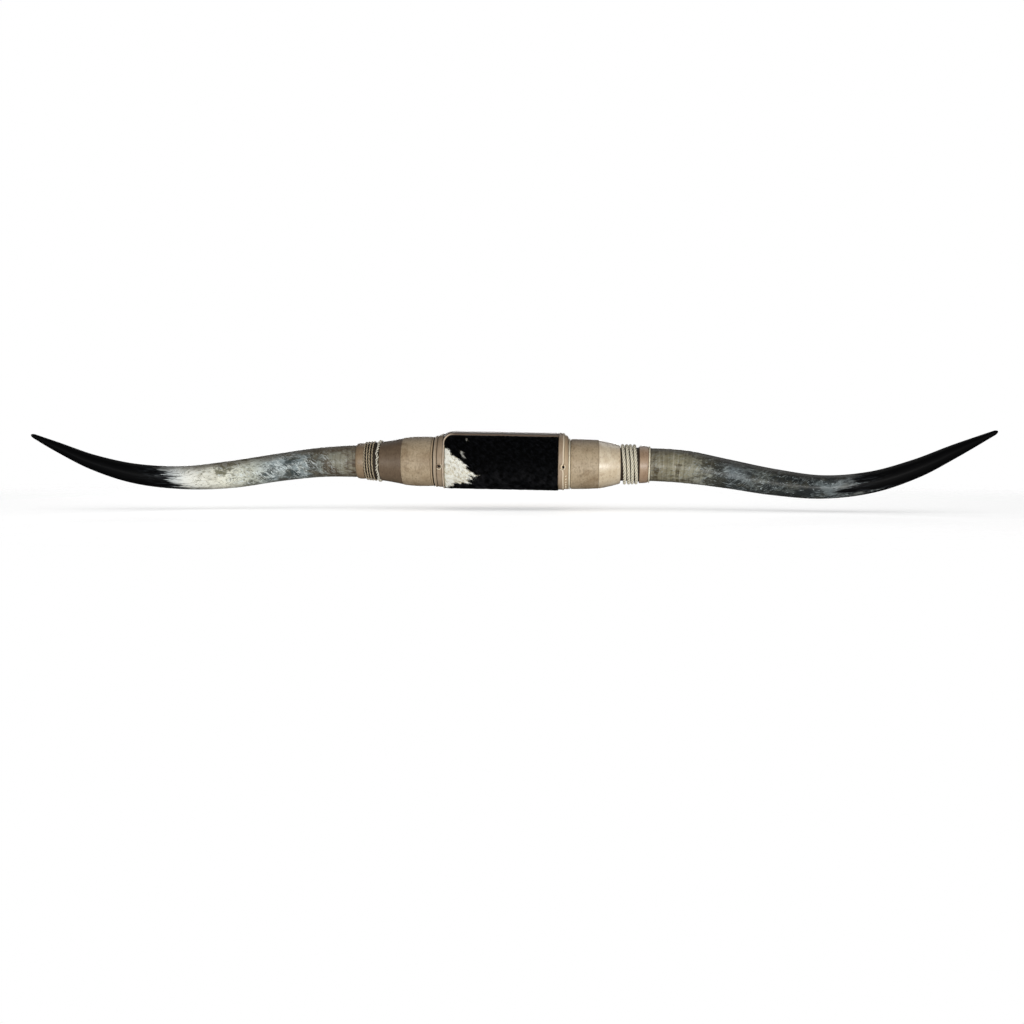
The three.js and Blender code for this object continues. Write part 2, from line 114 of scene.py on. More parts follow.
# Marks on the horns: distance from the middle, height from -1 at the bottom to 1 at the top, half length,
# half height, strength (pale above 0, dark below 0).
MARKS_LEFT = [
    (569, 0.5, 13, 0.25, -0.9), (540, 0.4, 12, 0.6, -1.1), (519, -0.15, 9, 0.3, -0.9),
    (528, 0.8, 30, 0.2, -1), (556, 0.0, 10, 0.4, 0.9), (536, -0.6, 20, 0.3, 0.8),
    (501, 0.0, 9, 0.6, 1.2), (474, 0.3, 12, 0.4, 1.3), (487, -0.5, 7, 0.5, -0.8),
    (455, -0.3, 12, 0.4, -0.7), (430, 0.1, 12, 0.5, 0.8), (405, -0.4, 10, 0.4, -0.8),
    (384, 0.2, 9, 0.5, 0.7), (364, -0.2, 8, 0.5, -0.8), (345, 0.5, 22, 0.3, -0.6),
    (330, -0.6, 14, 0.4, -1.1), (308, 0.1, 14, 0.5, 0.7), (590, 0.85, 16, 0.15, -0.8)]
MARKS_RIGHT = [
    (306, 0.2, 4, 0.6, 0.9), (298, -0.4, 5, 0.5, -0.7), (322, 0.1, 5, 0.7, 0.5),
    (342, -0.6, 7, 0.5, -0.9), (362, -0.1, 20, 0.5, 0.7), (392, -0.2, 7, 0.5, -0.6),
    (400, 0.6, 16, 0.3, -0.7), (421, -0.1, 9, 0.6, -1.0), (442, 0.1, 20, 0.34, 1.3),
    (450, -0.6, 26, 0.2, -1.2), (472, -0.3, 10, 0.25, 1.0), (496, 0.5, 20, 0.35, 0.5),
    (515, -0.2, 16, 0.4, -0.7), (545, 0.45, 18, 0.3, -1.1), (560, -0.3, 12, 0.3, 0.5),
    (585, 0.1, 12, 0.5, -0.7), (612, -0.8, 14, 0.2, -1.1), (625, -0.2, 18, 0.42, 1.1),
    (600, 0.7, 30, 0.2, -0.5), (655, 0.3, 14, 0.4, 0.6), (640, 0.8, 25, 0.2, -0.6)]

# Cords: distance from the middle, pitch, turns, radius of the cord and of its ring, way of winding.
LASHING_LEFT = {"start": 243.3, "pitch": 5.2, "turns": 4, "cord": 1.3, "radius": 37.4, "last": 35.4,
                "hand": 1}
LASHING_RIGHT = {"start": 235.4, "pitch": 7.3, "turns": 4, "cord": 3.1, "radius": 35.8, "last": 35.4,
                 "hand": -1}
LACE_LEFT = {"at": 233.2, "cord": 2.5, "radius": 37.9}
PIPING_RIGHT = {"at": 131.0, "cord": 1.75, "radius": 46.9}
COLLAR_PIPING_RIGHT = {"at": 283.8, "cord": 1.7, "radius": 33.2}

# Cowhide panel.
HIDE_LEFT = -105.6
HIDE_RIGHT = 110.7
HIDE_TOP_DEG = 52
HIDE_UNDER_DEG = -128
HIDE_CORNER = 14
HIDE_CORD = {"at": -107.3, "cord": 1.35, "lift": 2, "top_deg": 54.5}
SKIN_LIFT = (0.7, 1.9)

# Swell of the sleeves' leather, in millimetres.
UNEVENNESS = 0.28

# White patch where its hairs are rooted: place along X and height on the front, in millimetres. Locks
# with a lower share of white than PALE_FROM belong to the dark coat.
PALE_FROM = 0.3
WHITE_PATCH = [
    (-112, 26), (-104, 28), (-95, 16), (-84, 8), (-75, 1), (-66, -10), (-58, -18), (-44, -28),
    (-60, -23), (-58, -33), (-66, -29), (-64, -40), (-72, -38), (-80, -42), (-88, -37), (-93, -40),
    (-91, -48), (-99, -45), (-103, -52), (-112, -52)]

# Grey wisps: place and height, size, share of white.
GREY_WISPS = [((-76, 18), 1.2, 0.4), ((-73, 12), 1.2, 0.4), ((-66, 43), 0.9, 0.32)]

# Stretches of the collars that lie in the shade of the cords, as distances from the middle.
UNDER_CORDS = {"collar_left": [(230.5, 261.3)], "collar_right": [(228.5, 264.4)]}

# Back board with its pocket and tacks; nail holes of the bands, each with its place on X and its height.
BOARD = {"length": 196, "height": 78, "depth": 15}
POCKET_DEPTH = 15.3
NAIL_LEFT = (-114.9, -9.6)
NAIL_RIGHT = (118.7, -8.9)
HOLE = {"depth": 6.5, "floor": 3.6, "edge": 4.4, "lips": 5.4}
FINE_REACH = 0.2
TACK_HEAD = {"width": 5.6, "height": 2.3}

# Stitches along the lower right band: place on X, angles from the front, lift off the leather.
BAND_STITCHES = {"at": 125.2, "from": -27, "to": -62, "lift": 0.8}

# Profiles of the end bands: place on X, lift off the leather.
BAND_LEFT = [
    (-129.6, -1), (-129.5, 0.2), (-127.5, 0.4), (-127.0, -0.4), (-126.7, -2.6), (-125.3, -2.8),
    (-124.9, -0.3), (-124.3, 0.9), (-122.8, 1.3), (-121.6, 1.0), (-120.2, 0.6), (-119.6, -0.8),
    (-119.0, -1.0), (-118.4, 0.6), (-116, 0.9), (-112, 0.9), (-110.2, 0.7), (-109.6, 0.2), (-109.5, -1)]
BAND_RIGHT = [
    (111.5, -1), (111.6, 0.2), (112.1, 0.8), (117.5, 0.9), (118.7, 0.9), (119.2, 1.7), (120.2, 2.1),
    (121.2, 1.8), (121.9, 0.3), (122.6, 0.0), (126, 0.4), (128.8, 0.5), (129.4, 0.2), (129.6, -1.5)]


def along(table, column, x):
    """Smooth value and slope of a column of a station table at the distances x."""
    rows = np.array(table, float)
    x = np.asarray(x, float)
    last = len(rows) - 1
    i = np.clip(np.searchsorted(rows[:, 0], x, side="left") - 1, 0, last - 1)
    low = np.maximum(np.arange(last + 1) - 1, 0)
    high = np.minimum(np.arange(last + 1) + 1, last)
    slopes = (rows[high, column] - rows[low, column]) / (rows[high, 0] - rows[low, 0])
    p, q = rows[i], rows[i + 1]
    h = q[:, 0] - p[:, 0] if x.ndim else q[0] - p[0]
    start, end = (p[..., 0], p[..., column]), q[..., column]
    t = (x - start[0]) / h
    m, n = slopes[i] * h, slopes[i + 1] * h
    d = end - start[1]
    value = start[1] + t * (m + t * (3 * d - 2 * m - n + t * (m + n - 2 * d)))
    return value, (m + t * (2 * (3 * d - 2 * m - n) + 3 * t * (m + n - 2 * d))) / h


def unit(v):
    return v / np.linalg.norm(v, axis=-1, keepdims=True)


def arm_frame(arm, x):
    """Centre of an arm at the distances x, its direction, and the ways to its front and its top."""
    side, path = arm
    depth, depth_slope = along(path, 1, x)
    height, height_slope = along(path, 2, x)
    centre = np.stack([side * x, -depth, height], -1)
    run = unit(np.stack([np.full_like(x, side), -depth_slope, height_slope], -1))
    front = unit(np.array([0.0, -1.0, 0.0]) + run * run[..., 1:2])
    top = side * np.cross(front, run)
    return centre, run, front, top


def arm_point(arm, x, radius, angle):
    """Points of an arm, by distance, radius and angle from the front over the top."""
    x, radius, angle = np.broadcast_arrays(*(np.asarray(v, float) for v in (x, radius, angle)))
    shape = x.shape
    centre, _, front, top = arm_frame(arm, x.ravel())
    r, a = radius.ravel()[:, None], angle.ravel()[:, None]
    return (centre + front * r * np.cos(a) + top * r * np.sin(a)).reshape(*shape, 3)


def block_radius(angle):
    """Half width of the block's full section at an angle from the front."""
    c = np.abs(np.cos(angle))
    s = np.abs(np.sin(angle)) / BLOCK_HALF_HEIGHT
    front = np.cos(angle) >= 0
    n = np.where(front, FRONT_ROUNDNESS, BACK_ROUNDNESS)
    reach = np.where(front, BLOCK_FRONT_REACH, BLOCK_BACK_REACH)
    return ((c / reach) ** n + s ** n) ** (-1 / n)


def full_turn(count):
    """Angles spaced evenly round a full turn."""
    return np.linspace(0, 2 * math.pi, count, endpoint=False)


def smooth_step(low, high, x):
    t = np.clip((x - low) / (high - low), 0, 1)
    return t * t * (3 - 2 * t)


def fullness(x):
    """How far the section has swollen from the sleeve's circle (0) to the full block (1)."""
    t = np.clip((x - SHOULDER_RIGHT[0]) / (SHOULDER_RIGHT[1] - SHOULDER_RIGHT[0]), 0, 1)
    return np.where(x < 0, smooth_step(*SHOULDER_LEFT, x), np.sqrt(1 - t * t))


def lean(points):
    """Tips points of the level block about the Y axis, right end down."""
    x, y, z = points[..., 0], points[..., 1], points[..., 2]
    c, s = math.cos(LEAN), math.sin(LEAN)
    return np.stack([x * c + z * s, y, z * c - x * s], -1)


def block_point(x, angle, lift=0.0):
    """Points of the block at x, at an angle from the front, lifted off the leather."""
    x, angle, lift = np.broadcast_arrays(*(np.asarray(v, float) for v in (x, angle, lift)))
    full = fullness(x)
    out = (1 - full) * SLEEVE_RADIUS + full * block_radius(angle) + lift
    drop = SLEEVE_DROP * (1 - full)
    local = np.stack([x, -AXIS_DEPTH - out * np.cos(angle), out * np.sin(angle) - drop], -1)
    point = lean(local)
    turn = np.clip((np.abs(x) - PLANE_BLEND[0]) / (PLANE_BLEND[1] - PLANE_BLEND[0]), 0, 1)
    for arm in (ARM_LEFT, ARM_RIGHT):
        on_side = (turn > 0) & (np.sign(x) == arm[0])
        if on_side.any():
            centre, run, _, _ = arm_frame(arm, np.abs(x[on_side]))
            off = point[on_side] - centre
            in_plane = centre[:, 0] - (run[:, 1] * off[:, 1] + run[:, 2] * off[:, 2]) / run[:, 0]
            point[on_side, 0] += turn[on_side] * (in_plane - point[on_side, 0])
    return point


# Arc length round the full section, measured up from the front, in millimetres.
ARC_ANGLES = np.radians(np.arange(-140, 76, 0.25))
ARC_OUT = block_radius(ARC_ANGLES) + SKIN_LIFT[1]
ARC_PLACE = np.stack([ARC_OUT * np.cos(ARC_ANGLES), ARC_OUT * np.sin(ARC_ANGLES)], -1)
ARC_LENGTH = np.concatenate([[0], np.cumsum(np.linalg.norm(np.diff(ARC_PLACE, axis=0), axis=1))])
ARC_LENGTH -= np.interp(0, ARC_ANGLES, ARC_LENGTH)


def angle_at(arc):
    return np.interp(arc, ARC_LENGTH, ARC_ANGLES)


def arc_at(angle):
    return np.interp(angle, ARC_ANGLES, ARC_LENGTH)


def arc_at_height(z):
    """Arc length at a height on the front, for heights between the section's two shoulders."""
    facing = np.abs(ARC_ANGLES) < math.radians(72)
    return np.interp(z, ARC_PLACE[facing, 1], ARC_LENGTH[facing])


def waver(seed, *directions):
    """A smooth irregular function of one or more coordinates, made of sines; about -1 to 1."""
    rng = np.random.default_rng(seed)
    waves = [([rng.normal() * d for d in directions], rng.uniform(0, 2 * math.pi)) for _ in range(9)]

    def value(*coordinates):
        total = 0
        for factors, phase in waves:
            total = total + np.sin(sum(f * c for f, c in zip(factors, coordinates)) + phase)
        return total / 4
    return value


def softened(profile, rounds=3):
    """Profile with its corners cut again and again, so that they turn round; its ends stay."""
    points = np.array(profile, float)
    for _ in range(rounds):
        a, b = points[:-1], points[1:]
        cut = np.stack([0.75 * a + 0.25 * b, 0.25 * a + 0.75 * b], 1).reshape(-1, 2)
        points = np.concatenate([points[:1], cut[1:-1], points[-1:]])
    return points


def spaced(points, step):
    """Profile with points added so that none is further than step from the next."""
    result = [points[0]]
    for a, b in zip(points[:-1], points[1:]):
        count = max(1, int(math.ceil(np.linalg.norm(b - a) / step)))
        result += [a + (b - a) * k / count for k in range(1, count + 1)]
    return np.array(result)


def grid_faces(rows, columns, closed):
    """Quads between rows of points, round to the first column again where the rows are closed."""
    r = np.arange(rows - 1)[:, None]
    c = np.arange(columns if closed else columns - 1)[None, :]
    d = (c + 1) % columns
    quads = np.stack([r * columns + c, (r + 1) * columns + c, (r + 1) * columns + d, r * columns + d], -1)
    return quads.reshape(-1, 4)


def make_mesh(name, points, faces, values=None):
    """Mesh in metres from points in millimetres, with its faces turned outwards."""
    mesh = bpy.data.meshes.new(name)
    mesh.from_pydata((np.asarray(points) * MM).tolist(), [], [list(map(int, f)) for f in faces])
    for label, data in (values or {}).items():
        data = np.asarray(data, float)
        kind = "FLOAT_VECTOR" if data.ndim == 2 else "FLOAT"
        layer = mesh.attributes.new(label, kind, "POINT")
        layer.data.foreach_set("vector" if data.ndim == 2 else "value", data.ravel())
    mesh.polygons.foreach_set("use_smooth", [True] * len(mesh.polygons))
    return face_outwards(mesh)


def face_outwards(mesh):
    """Turns all the faces of a closed mesh round where its enclosed volume comes out negative."""
    work = bmesh.new()
    work.from_mesh(mesh)
    if work.calc_volume(signed=True) < 0:
        bmesh.ops.reverse_faces(work, faces=work.faces)
        work.to_mesh(mesh)
    work.free()
    return mesh


def linked(name, data):
    """New object of the scene."""
    item = bpy.data.objects.new(name, data)
    bpy.context.scene.collection.objects.link(item)
    return item


def place_piece(mesh, finish, slot, *nodes):
    """Links a finished mesh as a piece that rides on the model and stands for CAD nodes."""
    piece = linked(mesh.name, mesh)
    mesh.materials.clear()
    mesh.materials.append(finish)
    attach(piece, "root")
    if nodes:
        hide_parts(*nodes)
    return piece


def capped(points):
    """Rows of closed rings turned into a closed surface, with a fan at each end."""
    rows, columns, _ = points.shape
    flat = np.concatenate([points.reshape(-1, 3), points[0].mean(0)[None], points[-1].mean(0)[None]])
    faces = list(grid_faces(rows, columns, True))
    first, last = rows * columns, rows * columns + 1
    for c in range(columns):
        d = (c + 1) % columns
        faces.append((first, c, d))
        faces.append((last, (rows - 1) * columns + d, (rows - 1) * columns + c))
    return flat, faces


def with_ends(values, ends=(0, 0)):
    """Values of the points of a capped surface: those of its rings and of the middles of its two ends."""
    return np.concatenate([np.ravel(values), ends])


def lay_values(x, front, top):
    """Coordinates in metres that follow a piece: along it, to its front and to its top."""
    lay = np.stack(np.broadcast_arrays(x, front, top), -1) * MM
    return np.concatenate([lay.reshape(-1, 3), lay[0].mean(0)[None], lay[-1].mean(0)[None]])


def edge_values(x, columns, width):
    """1 at the two ends of a piece, falling to 0 over the width."""
    near = np.minimum(x - x.min(), x.max() - x)
    return with_ends(np.repeat(np.clip(1 - near / width, 0, 1), columns), (1, 1))


# Nodes

def linear(red, green, blue):
    """Scene colour of an 8-bit display colour."""
    channels = [c / 255 for c in (red, green, blue)]
    return tuple(c / 12.92 if c <= 0.04045 else ((c + 0.055) / 1.055) ** 2.4 for c in channels)


class Level:
    """An output of a node, with arithmetic that adds Math nodes."""

    def __init__(self, maker, socket):
        self.maker = maker
        self.socket = socket

    def math(self, operation, *values):
        return self.maker.add("ShaderNodeMath", {"operation": operation}, dict(enumerate(values)))

    def __add__(self, other):
        return self.math("ADD", self, other)

    def __sub__(self, other):
        return self.math("SUBTRACT", self, other)

    def __rsub__(self, other):
        return self.math("SUBTRACT", other, self)

    def __mul__(self, other):
        return self.math("MULTIPLY", self, other)

    def __truediv__(self, other):
        return self.math("DIVIDE", self, other)

    def __abs__(self):
        return self.math("ABSOLUTE", self)

    def sine(self):
        return self.math("SINE", self)

    def cosine(self):
        return self.math("COSINE", self)

    def most(self, other):
        return self.math("MAXIMUM", self, other)

    def step(self, low, high):
        """0 below low, 1 above high, smooth between them."""
        return self.maker.add("ShaderNodeMapRange", {"interpolation_type": "SMOOTHSTEP"},
                              {"Value": self, "From Min": low, "From Max": high})

    __radd__ = __add__
    __rmul__ = __mul__


class Maker:
    """Adds nodes to a tree."""

    def __init__(self, tree):
        self.tree = tree

    def put(self, socket, value):
        """Sets or links a socket; a tuple for a colour is an 8-bit display colour."""
        if isinstance(value, Level):
            self.tree.links.new(value.socket, socket)
        elif isinstance(value, Color):
            socket.default_value = (*value, 1)
        elif isinstance(value, tuple) and socket.type == "RGBA":
            socket.default_value = (*linear(*value), 1)
        else:
            socket.default_value = value

    def add(self, kind, settings=None, sockets=None, output=0):
        """Adds a node with its settings and the values or links of its sockets."""
        node = self.tree.nodes.new(kind)
        for name, value in (settings or {}).items():
            if name == "stops":
                fill_ramp(node.color_ramp, value)
            else:
                setattr(node, name, value)
        for key, value in (sockets or {}).items():
            self.put(node.inputs[key], value)
        return Level(self, node.outputs[output])


def fill_ramp(ramp, stops):
    """Gives a ramp its stops; a colour is an 8-bit display colour and a number is a level."""
    while len(ramp.elements) > 1:
        ramp.elements.remove(ramp.elements[-1])
    for index, (place, colour) in enumerate(stops):
        stop = ramp.elements[0] if index == 0 else ramp.elements.new(place)
        stop.position = place
        stop.color = (*linear(*colour), 1) if isinstance(colour, tuple) else (colour, colour, colour, 1)


class Finish(Maker):
    """A material under construction, with one Principled shader."""

    def __init__(self, name):
        self.material = bpy.data.materials.new(name)
        self.material.use_nodes = True
        super().__init__(self.material.node_tree)
        self.tree.nodes.clear()
        self.shader = self.tree.nodes.new("ShaderNodeBsdfPrincipled")
        output = self.tree.nodes.new("ShaderNodeOutputMaterial")
        self.tree.links.new(self.shader.outputs[0], output.inputs[0])

    def attribute(self, name, output="Fac"):
        return self.add("ShaderNodeAttribute", {"attribute_name": name}, output=output)

    def object_place(self):
        return self.add("ShaderNodeTexCoord", output="Object")

    def scaled(self, vector, factors):
        return self.add("ShaderNodeVectorMath", {"operation": "MULTIPLY"}, {0: vector, 1: factors})

    def part(self, vector, axis):
        return self.add("ShaderNodeSeparateXYZ", None, {0: vector}, axis)

    def noise(self, vector, scale, detail=4.0, roughness=0.55, distortion=0.0):
        return self.add("ShaderNodeTexNoise", None, {
            "Vector": vector, "Scale": scale, "Detail": detail, "Roughness": roughness,
            "Distortion": distortion})

    def streaks(self, vector, factors, detail=4.0, roughness=0.6, distortion=0.0):
        """Noise drawn out along the axes with the lower factors."""
        return self.noise(self.scaled(vector, factors), 1.0, detail, roughness, distortion)

    def cells(self, vector, scale):
        return self.add("ShaderNodeTexVoronoi", None, {"Vector": vector, "Scale": scale})

    def ramp(self, level, stops):
        return self.add("ShaderNodeValToRGB", {"stops": stops}, {0: level})

    def mix(self, factor, a, b):
        return self.add("ShaderNodeMix", {"data_type": "RGBA"}, {0: factor, 6: a, 7: b}, 2)

    def layers(self, colour, *over):
        """A colour with others laid over it in turn, each with the share that it covers."""
        for share, other in over:
            colour = self.mix(share, colour, other)
        return colour

    def bump(self, height, distance, strength):
        return self.add("ShaderNodeBump", None,
                        {"Height": height, "Distance": distance, "Strength": strength})

    def done(self, colour, roughness, **others):
        self.put(self.shader.inputs["Base Color"], colour)
        self.put(self.shader.inputs["Roughness"], roughness)
        for name, value in others.items():
            self.put(self.shader.inputs[name.replace("_", " ")], value)
        return self.material


# Settings

def distance(name, description, default, **limits):
    return FloatProperty(name=name, description=description, default=default, subtype="DISTANCE",
                         unit="LENGTH", **limits)


def colour(name, description, *display):
    return FloatVectorProperty(name=name, description=description, default=linear(*display), min=0,
                               max=1, subtype="COLOR")


def view_angle(name, description, degrees):
    return FloatProperty(name=name, description=description, default=math.radians(degrees),
                         subtype="ANGLE", unit="ROTATION")


def power(name, description, default):
    return FloatProperty(name=name, description=description, default=default, min=0, subtype="POWER",
                         unit="POWER")


class MountSettings(bpy.types.PropertyGroup):
    """Sizes and colours of the horn mount."""

    ring_depth: distance("Growth ring depth", "Height of the low rings near a horn's base", 0.00022,
                         min=0, max=0.002)
    lock_length: distance("Hair length", "Length of a lock of the cowhide's coat", 0.0095,
                          min=0.003, max=0.02)
    lock_width: distance("Lock width", "Width of a lock of the cowhide's coat at its root", 0.0011,
                         min=0.0003, max=0.004)
    dark_locks: IntProperty(name="Dark locks", description="Locks in the black part of the coat",
                            default=19000, min=1000, max=19500)
    white_locks: IntProperty(name="White locks", description="Locks in the white part of the coat",
                             default=5200, min=500, max=19500)
    twist: distance("Twist length", "Length of cord in which its strands go round once", 0.0145,
                    min=0.003, max=0.05)
    stitch_spacing: distance("Stitch spacing", "From one stitch of the back seams to the next", 0.0058,
                             min=0.002, max=0.02)
    tack_spacing: distance("Tack spacing", "From one tack round the back board to the next", 0.021,
                           min=0.008, max=0.08)
    tan: colour("Tan leather", "Main colour of the sleeves", 196, 177, 148)
    taupe: colour("Dark sleeve", "Colour of the darker outer sleeve", 124, 106, 86)
    rawhide: colour("Rawhide", "Colour of the pale glossy sleeve", 255, 240, 212)
    cream: colour("Cream cord", "Colour of the thick cord wound round the right arm", 255, 254, 240)


class StudioSettings(bpy.types.PropertyGroup):
    """Camera, lights and floor."""

    camera_place: FloatVectorProperty(
        name="Camera", description="Place of the camera", subtype="TRANSLATION", unit="LENGTH",
        default=(0.1966, -3.4013, 0.1343))
    camera_azimuth: view_angle("Azimuth", "Turn of the view about the vertical", 3)
    camera_elevation: view_angle("Elevation", "How far the view looks down", 4)
    lens: FloatProperty(name="Lens", description="Focal length on a 36 mm sensor", default=61.35,
                        subtype="DISTANCE_CAMERA")
    floor_height: distance("Floor height", "Height of the floor", -0.095)
    key_power: power("Key light", "Power of the main soft light", 48)
    fill_power: power("Fill light", "Power of the second soft light", 25)
    top_power: power("Top light", "Power of the soft light from above", 12)
    back_power: power("Back light", "Power of the soft light from behind", 60)
    floor_power: power("Floor light", "Power of the soft light that only the floor takes", 66)
    ambient: FloatProperty(name="Ambient", description="Strength of the even light from all round",
                           default=0.07, min=0)


# Finishes

def horn_finish(name, look):
    """Polished horn: marbled pale and deep patches, veins, pale spots and painted glints, rings near the
    base, a black tip, and painted shade along its top and bottom.
    """
    f = Finish(name)
    lay = f.attribute("lay", "Vector")
    up = f.attribute("up")
    run, rise = f.part(lay, 0), f.part(lay, 2)
    place = (run - 0.27) / 0.66
    drift = f.add("ShaderNodeTexNoise", None, {"Vector": lay, "Scale": 30.0}, "Color")
    bent = f.add("ShaderNodeVectorMath", {"operation": "ADD"},
                 {0: lay, 1: f.scaled(drift, (0.022, 0.016, 0.016))})
    cloud = f.streaks(bent, (26, 48, 48), 5)
    patch = f.streaks(bent, (62, 130, 130), 5, 0.65)
    thin = f.streaks(lay, (48, 480, 480), 4, 0.6, 0.4)
    rings = f.streaks(lay, (230, 11, 11), 3, 0.6, 0.55)
    near_base = 1 - run.step(0.33, look["rings_end"])
    calm = 1 - near_base * 0.6
    mottle = cloud * 0.25 + patch * 0.45 + thin * 0.3
    lead = mottle + (f.ramp(place, look["share"]) + f.attribute("mark") * 0.1) - 1.0
    tint = f.noise(f.scaled(bent, (34, 60, 60)), 1.3, 2)
    vein_colour = f.ramp(place, look["vein_colour"])
    veins = 1 - abs(f.streaks(bent, (44, 90, 90), 3, 0.5, 1.4) - 0.5).step(0.0, 0.035)
    gaps = 1 - abs(lead).step(0.0, 0.03)
    specks = f.streaks(bent, (150, 330, 330), 4, 0.7, 0.5)
    slanted = f.add("ShaderNodeCombineXYZ", None, {
        0: (run + rise) * 34.0, 1: f.part(lay, 1) * 60.0, 2: (run - rise) * 150.0})
    strokes = 1 - abs(f.noise(slanted, 1.0, 3, 0.5, 0.6) - 0.5).step(0.004, 0.03)
    # Bright spots: pale flecks of the horn and painted glints of its polish.
    flecks_and_glints = f.streaks(bent, (70, 230, 230), 3, 0.6, 0.8).step(0.60, 0.66)
    # Height round the horn, roughened by the clouds, that sets the painted shade along its top and bottom.
    rim_shade_height = up + (cloud - 0.5) * 0.9
    finger = f.streaks(lay, (10, 210, 210), 3, 0.55, 0.3)
    past = run - (f.ramp(up * 0.5 + 0.5, look["black"]) * 0.2 + 0.55)
    ink = (past + (finger - 0.5) * 0.13 + (thin - 0.5) * 0.02).step(-0.005, 0.005)
    smoke = (past + (thin - 0.5) * 0.12 + (finger - 0.5) * 0.1).step(-0.035, 0.01)
    trail = thin.step(0.5, 0.62) * ink * (1 - past.step(0.0, 0.07))
    worn = (thin * 0.5 + finger * 0.5).step(0.57, 0.68) * ink
    marbled = f.mix(lead.step(-0.06, 0.06), f.ramp(place, look["deep"]), f.ramp(place, look["pale"]))
    colour = f.layers(
        marbled,
        (tint.step(0.45, 0.7) * 0.35, look["tint"]),
        (veins.most(gaps) * thin.step(0.36, 0.52) * calm * look["veins"], vein_colour),
        ((1 - specks.step(0.30, 0.37)) * look["specks"], vein_colour),
        (strokes * f.ramp(place, look["strokes"]) * cloud.step(0.42, 0.56), look["fleck_colour"]),
        # Bright spots, partly painted glints of the polish.
        (flecks_and_glints * calm * look["flecks_and_glints"], look["fleck_colour"]),
        (rings.step(0.50, 0.72) * near_base * look["rings"], look["ring_colour"]),
        ((1 - rings.step(0.28, 0.5)) * near_base * 0.6, (66, 55, 42)),
        # Painted shade: darker along the horn's top and bottom.
        ((rim_shade_height.step(0.5, 0.95) + (1 - rim_shade_height.step(-1.1, -0.78)) * 0.7) * 0.62, look["rim_shade_colour"]),
        (smoke * 0.6, (44, 48, 52)), (ink, (7, 7, 8)),
        (trail * 0.55, (58, 62, 66)), (worn * 0.35, (24, 25, 28)))
    height = cloud * 0.4 + patch * 0.6 + thin * 0.3 + rings * near_base * 0.6
    return f.done(colour, 0.4 + thin * 0.16 + ink * 0.12, Normal=f.bump(height, 0.0012, 0.6),
                  Coat_Weight=0.25 - ink * 0.23, Coat_Roughness=0.3, Specular_IOR_Level=0.06)


HORN_LEFT_LOOK = {
    "deep": [(0.0, (84, 68, 52)), (0.08, (92, 80, 64)), (0.18, (66, 74, 74)),
             (0.28, (78, 88, 90)), (0.36, (118, 118, 98)), (0.48, (140, 138, 116)),
             (0.56, (196, 206, 208))],
    "pale": [(0.0, (142, 134, 116)), (0.08, (150, 150, 136)), (0.16, (140, 152, 154)),
             (0.26, (182, 194, 196)), (0.32, (214, 218, 204)), (0.4, (255, 254, 236)),
             (0.5, (255, 255, 246)), (0.56, (246, 253, 255))],
    "share": [(0.0, 0.5), (0.12, 0.5), (0.26, 0.52), (0.33, 0.54), (0.42, 0.6), (0.6, 0.7)],
    "vein_colour": [(0.0, (72, 60, 46)), (0.2, (50, 56, 56)), (0.36, (74, 72, 52)),
                    (0.48, (120, 116, 92)), (0.6, (150, 156, 150))],
    "strokes": [(0.0, 0.05), (0.12, 0.5), (0.22, 1.0), (0.36, 0.8), (0.5, 0.0)],
    "black": [(0.0, 0.1), (0.08, 0.22), (0.22, 0.4), (0.4, 0.47), (0.6, 0.46), (0.8, 0.5), (1.0, 0.5)],
    "veins": 0.75, "specks": 0.7, "flecks_and_glints": 0.7, "fleck_colour": (240, 248, 246),
    "tint": (140, 132, 110), "rings": 0.4, "rings_end": 0.4, "ring_colour": (170, 164, 146),
    "rim_shade_colour": (104, 92, 74),
}
HORN_RIGHT_LOOK = {
    "deep": [(0.0, (82, 72, 56)), (0.1, (90, 82, 62)), (0.17, (72, 70, 60)),
             (0.25, (54, 58, 57)), (0.4, (42, 46, 46)), (0.46, (38, 42, 43)),
             (0.53, (52, 57, 58)), (0.62, (20, 20, 22))],
    "pale": [(0.0, (134, 126, 108)), (0.1, (154, 148, 122)), (0.18, (146, 146, 132)),
             (0.26, (114, 122, 126)), (0.36, (94, 98, 92)), (0.45, (78, 83, 82)),
             (0.53, (112, 121, 123)), (0.62, (140, 144, 144))],
    "share": [(0.0, 0.55), (0.12, 0.54), (0.2, 0.5), (0.27, 0.5), (0.38, 0.5), (0.46, 0.47),
              (0.53, 0.52), (0.64, 0.5)],
    "vein_colour": [(0.0, (58, 50, 38)), (0.2, (34, 36, 36)), (0.5, (18, 20, 22))],
    "strokes": [(0.0, 0.35), (0.2, 0.4), (0.4, 0.35), (0.6, 0.2)],
    "black": [(0.0, 0.4), (0.06, 0.55), (0.12, 0.86), (0.19, 0.7), (0.27, 0.44), (0.36, 0.46),
              (0.5, 0.62), (0.7, 0.62), (1.0, 0.6)],
    "veins": 0.7, "specks": 0.6, "flecks_and_glints": 0.6, "fleck_colour": (186, 196, 198),
    "tint": (88, 84, 68), "rings": 0.55, "rings_end": 0.43, "ring_colour": (206, 200, 184),
    "rim_shade_colour": (58, 54, 48),
}


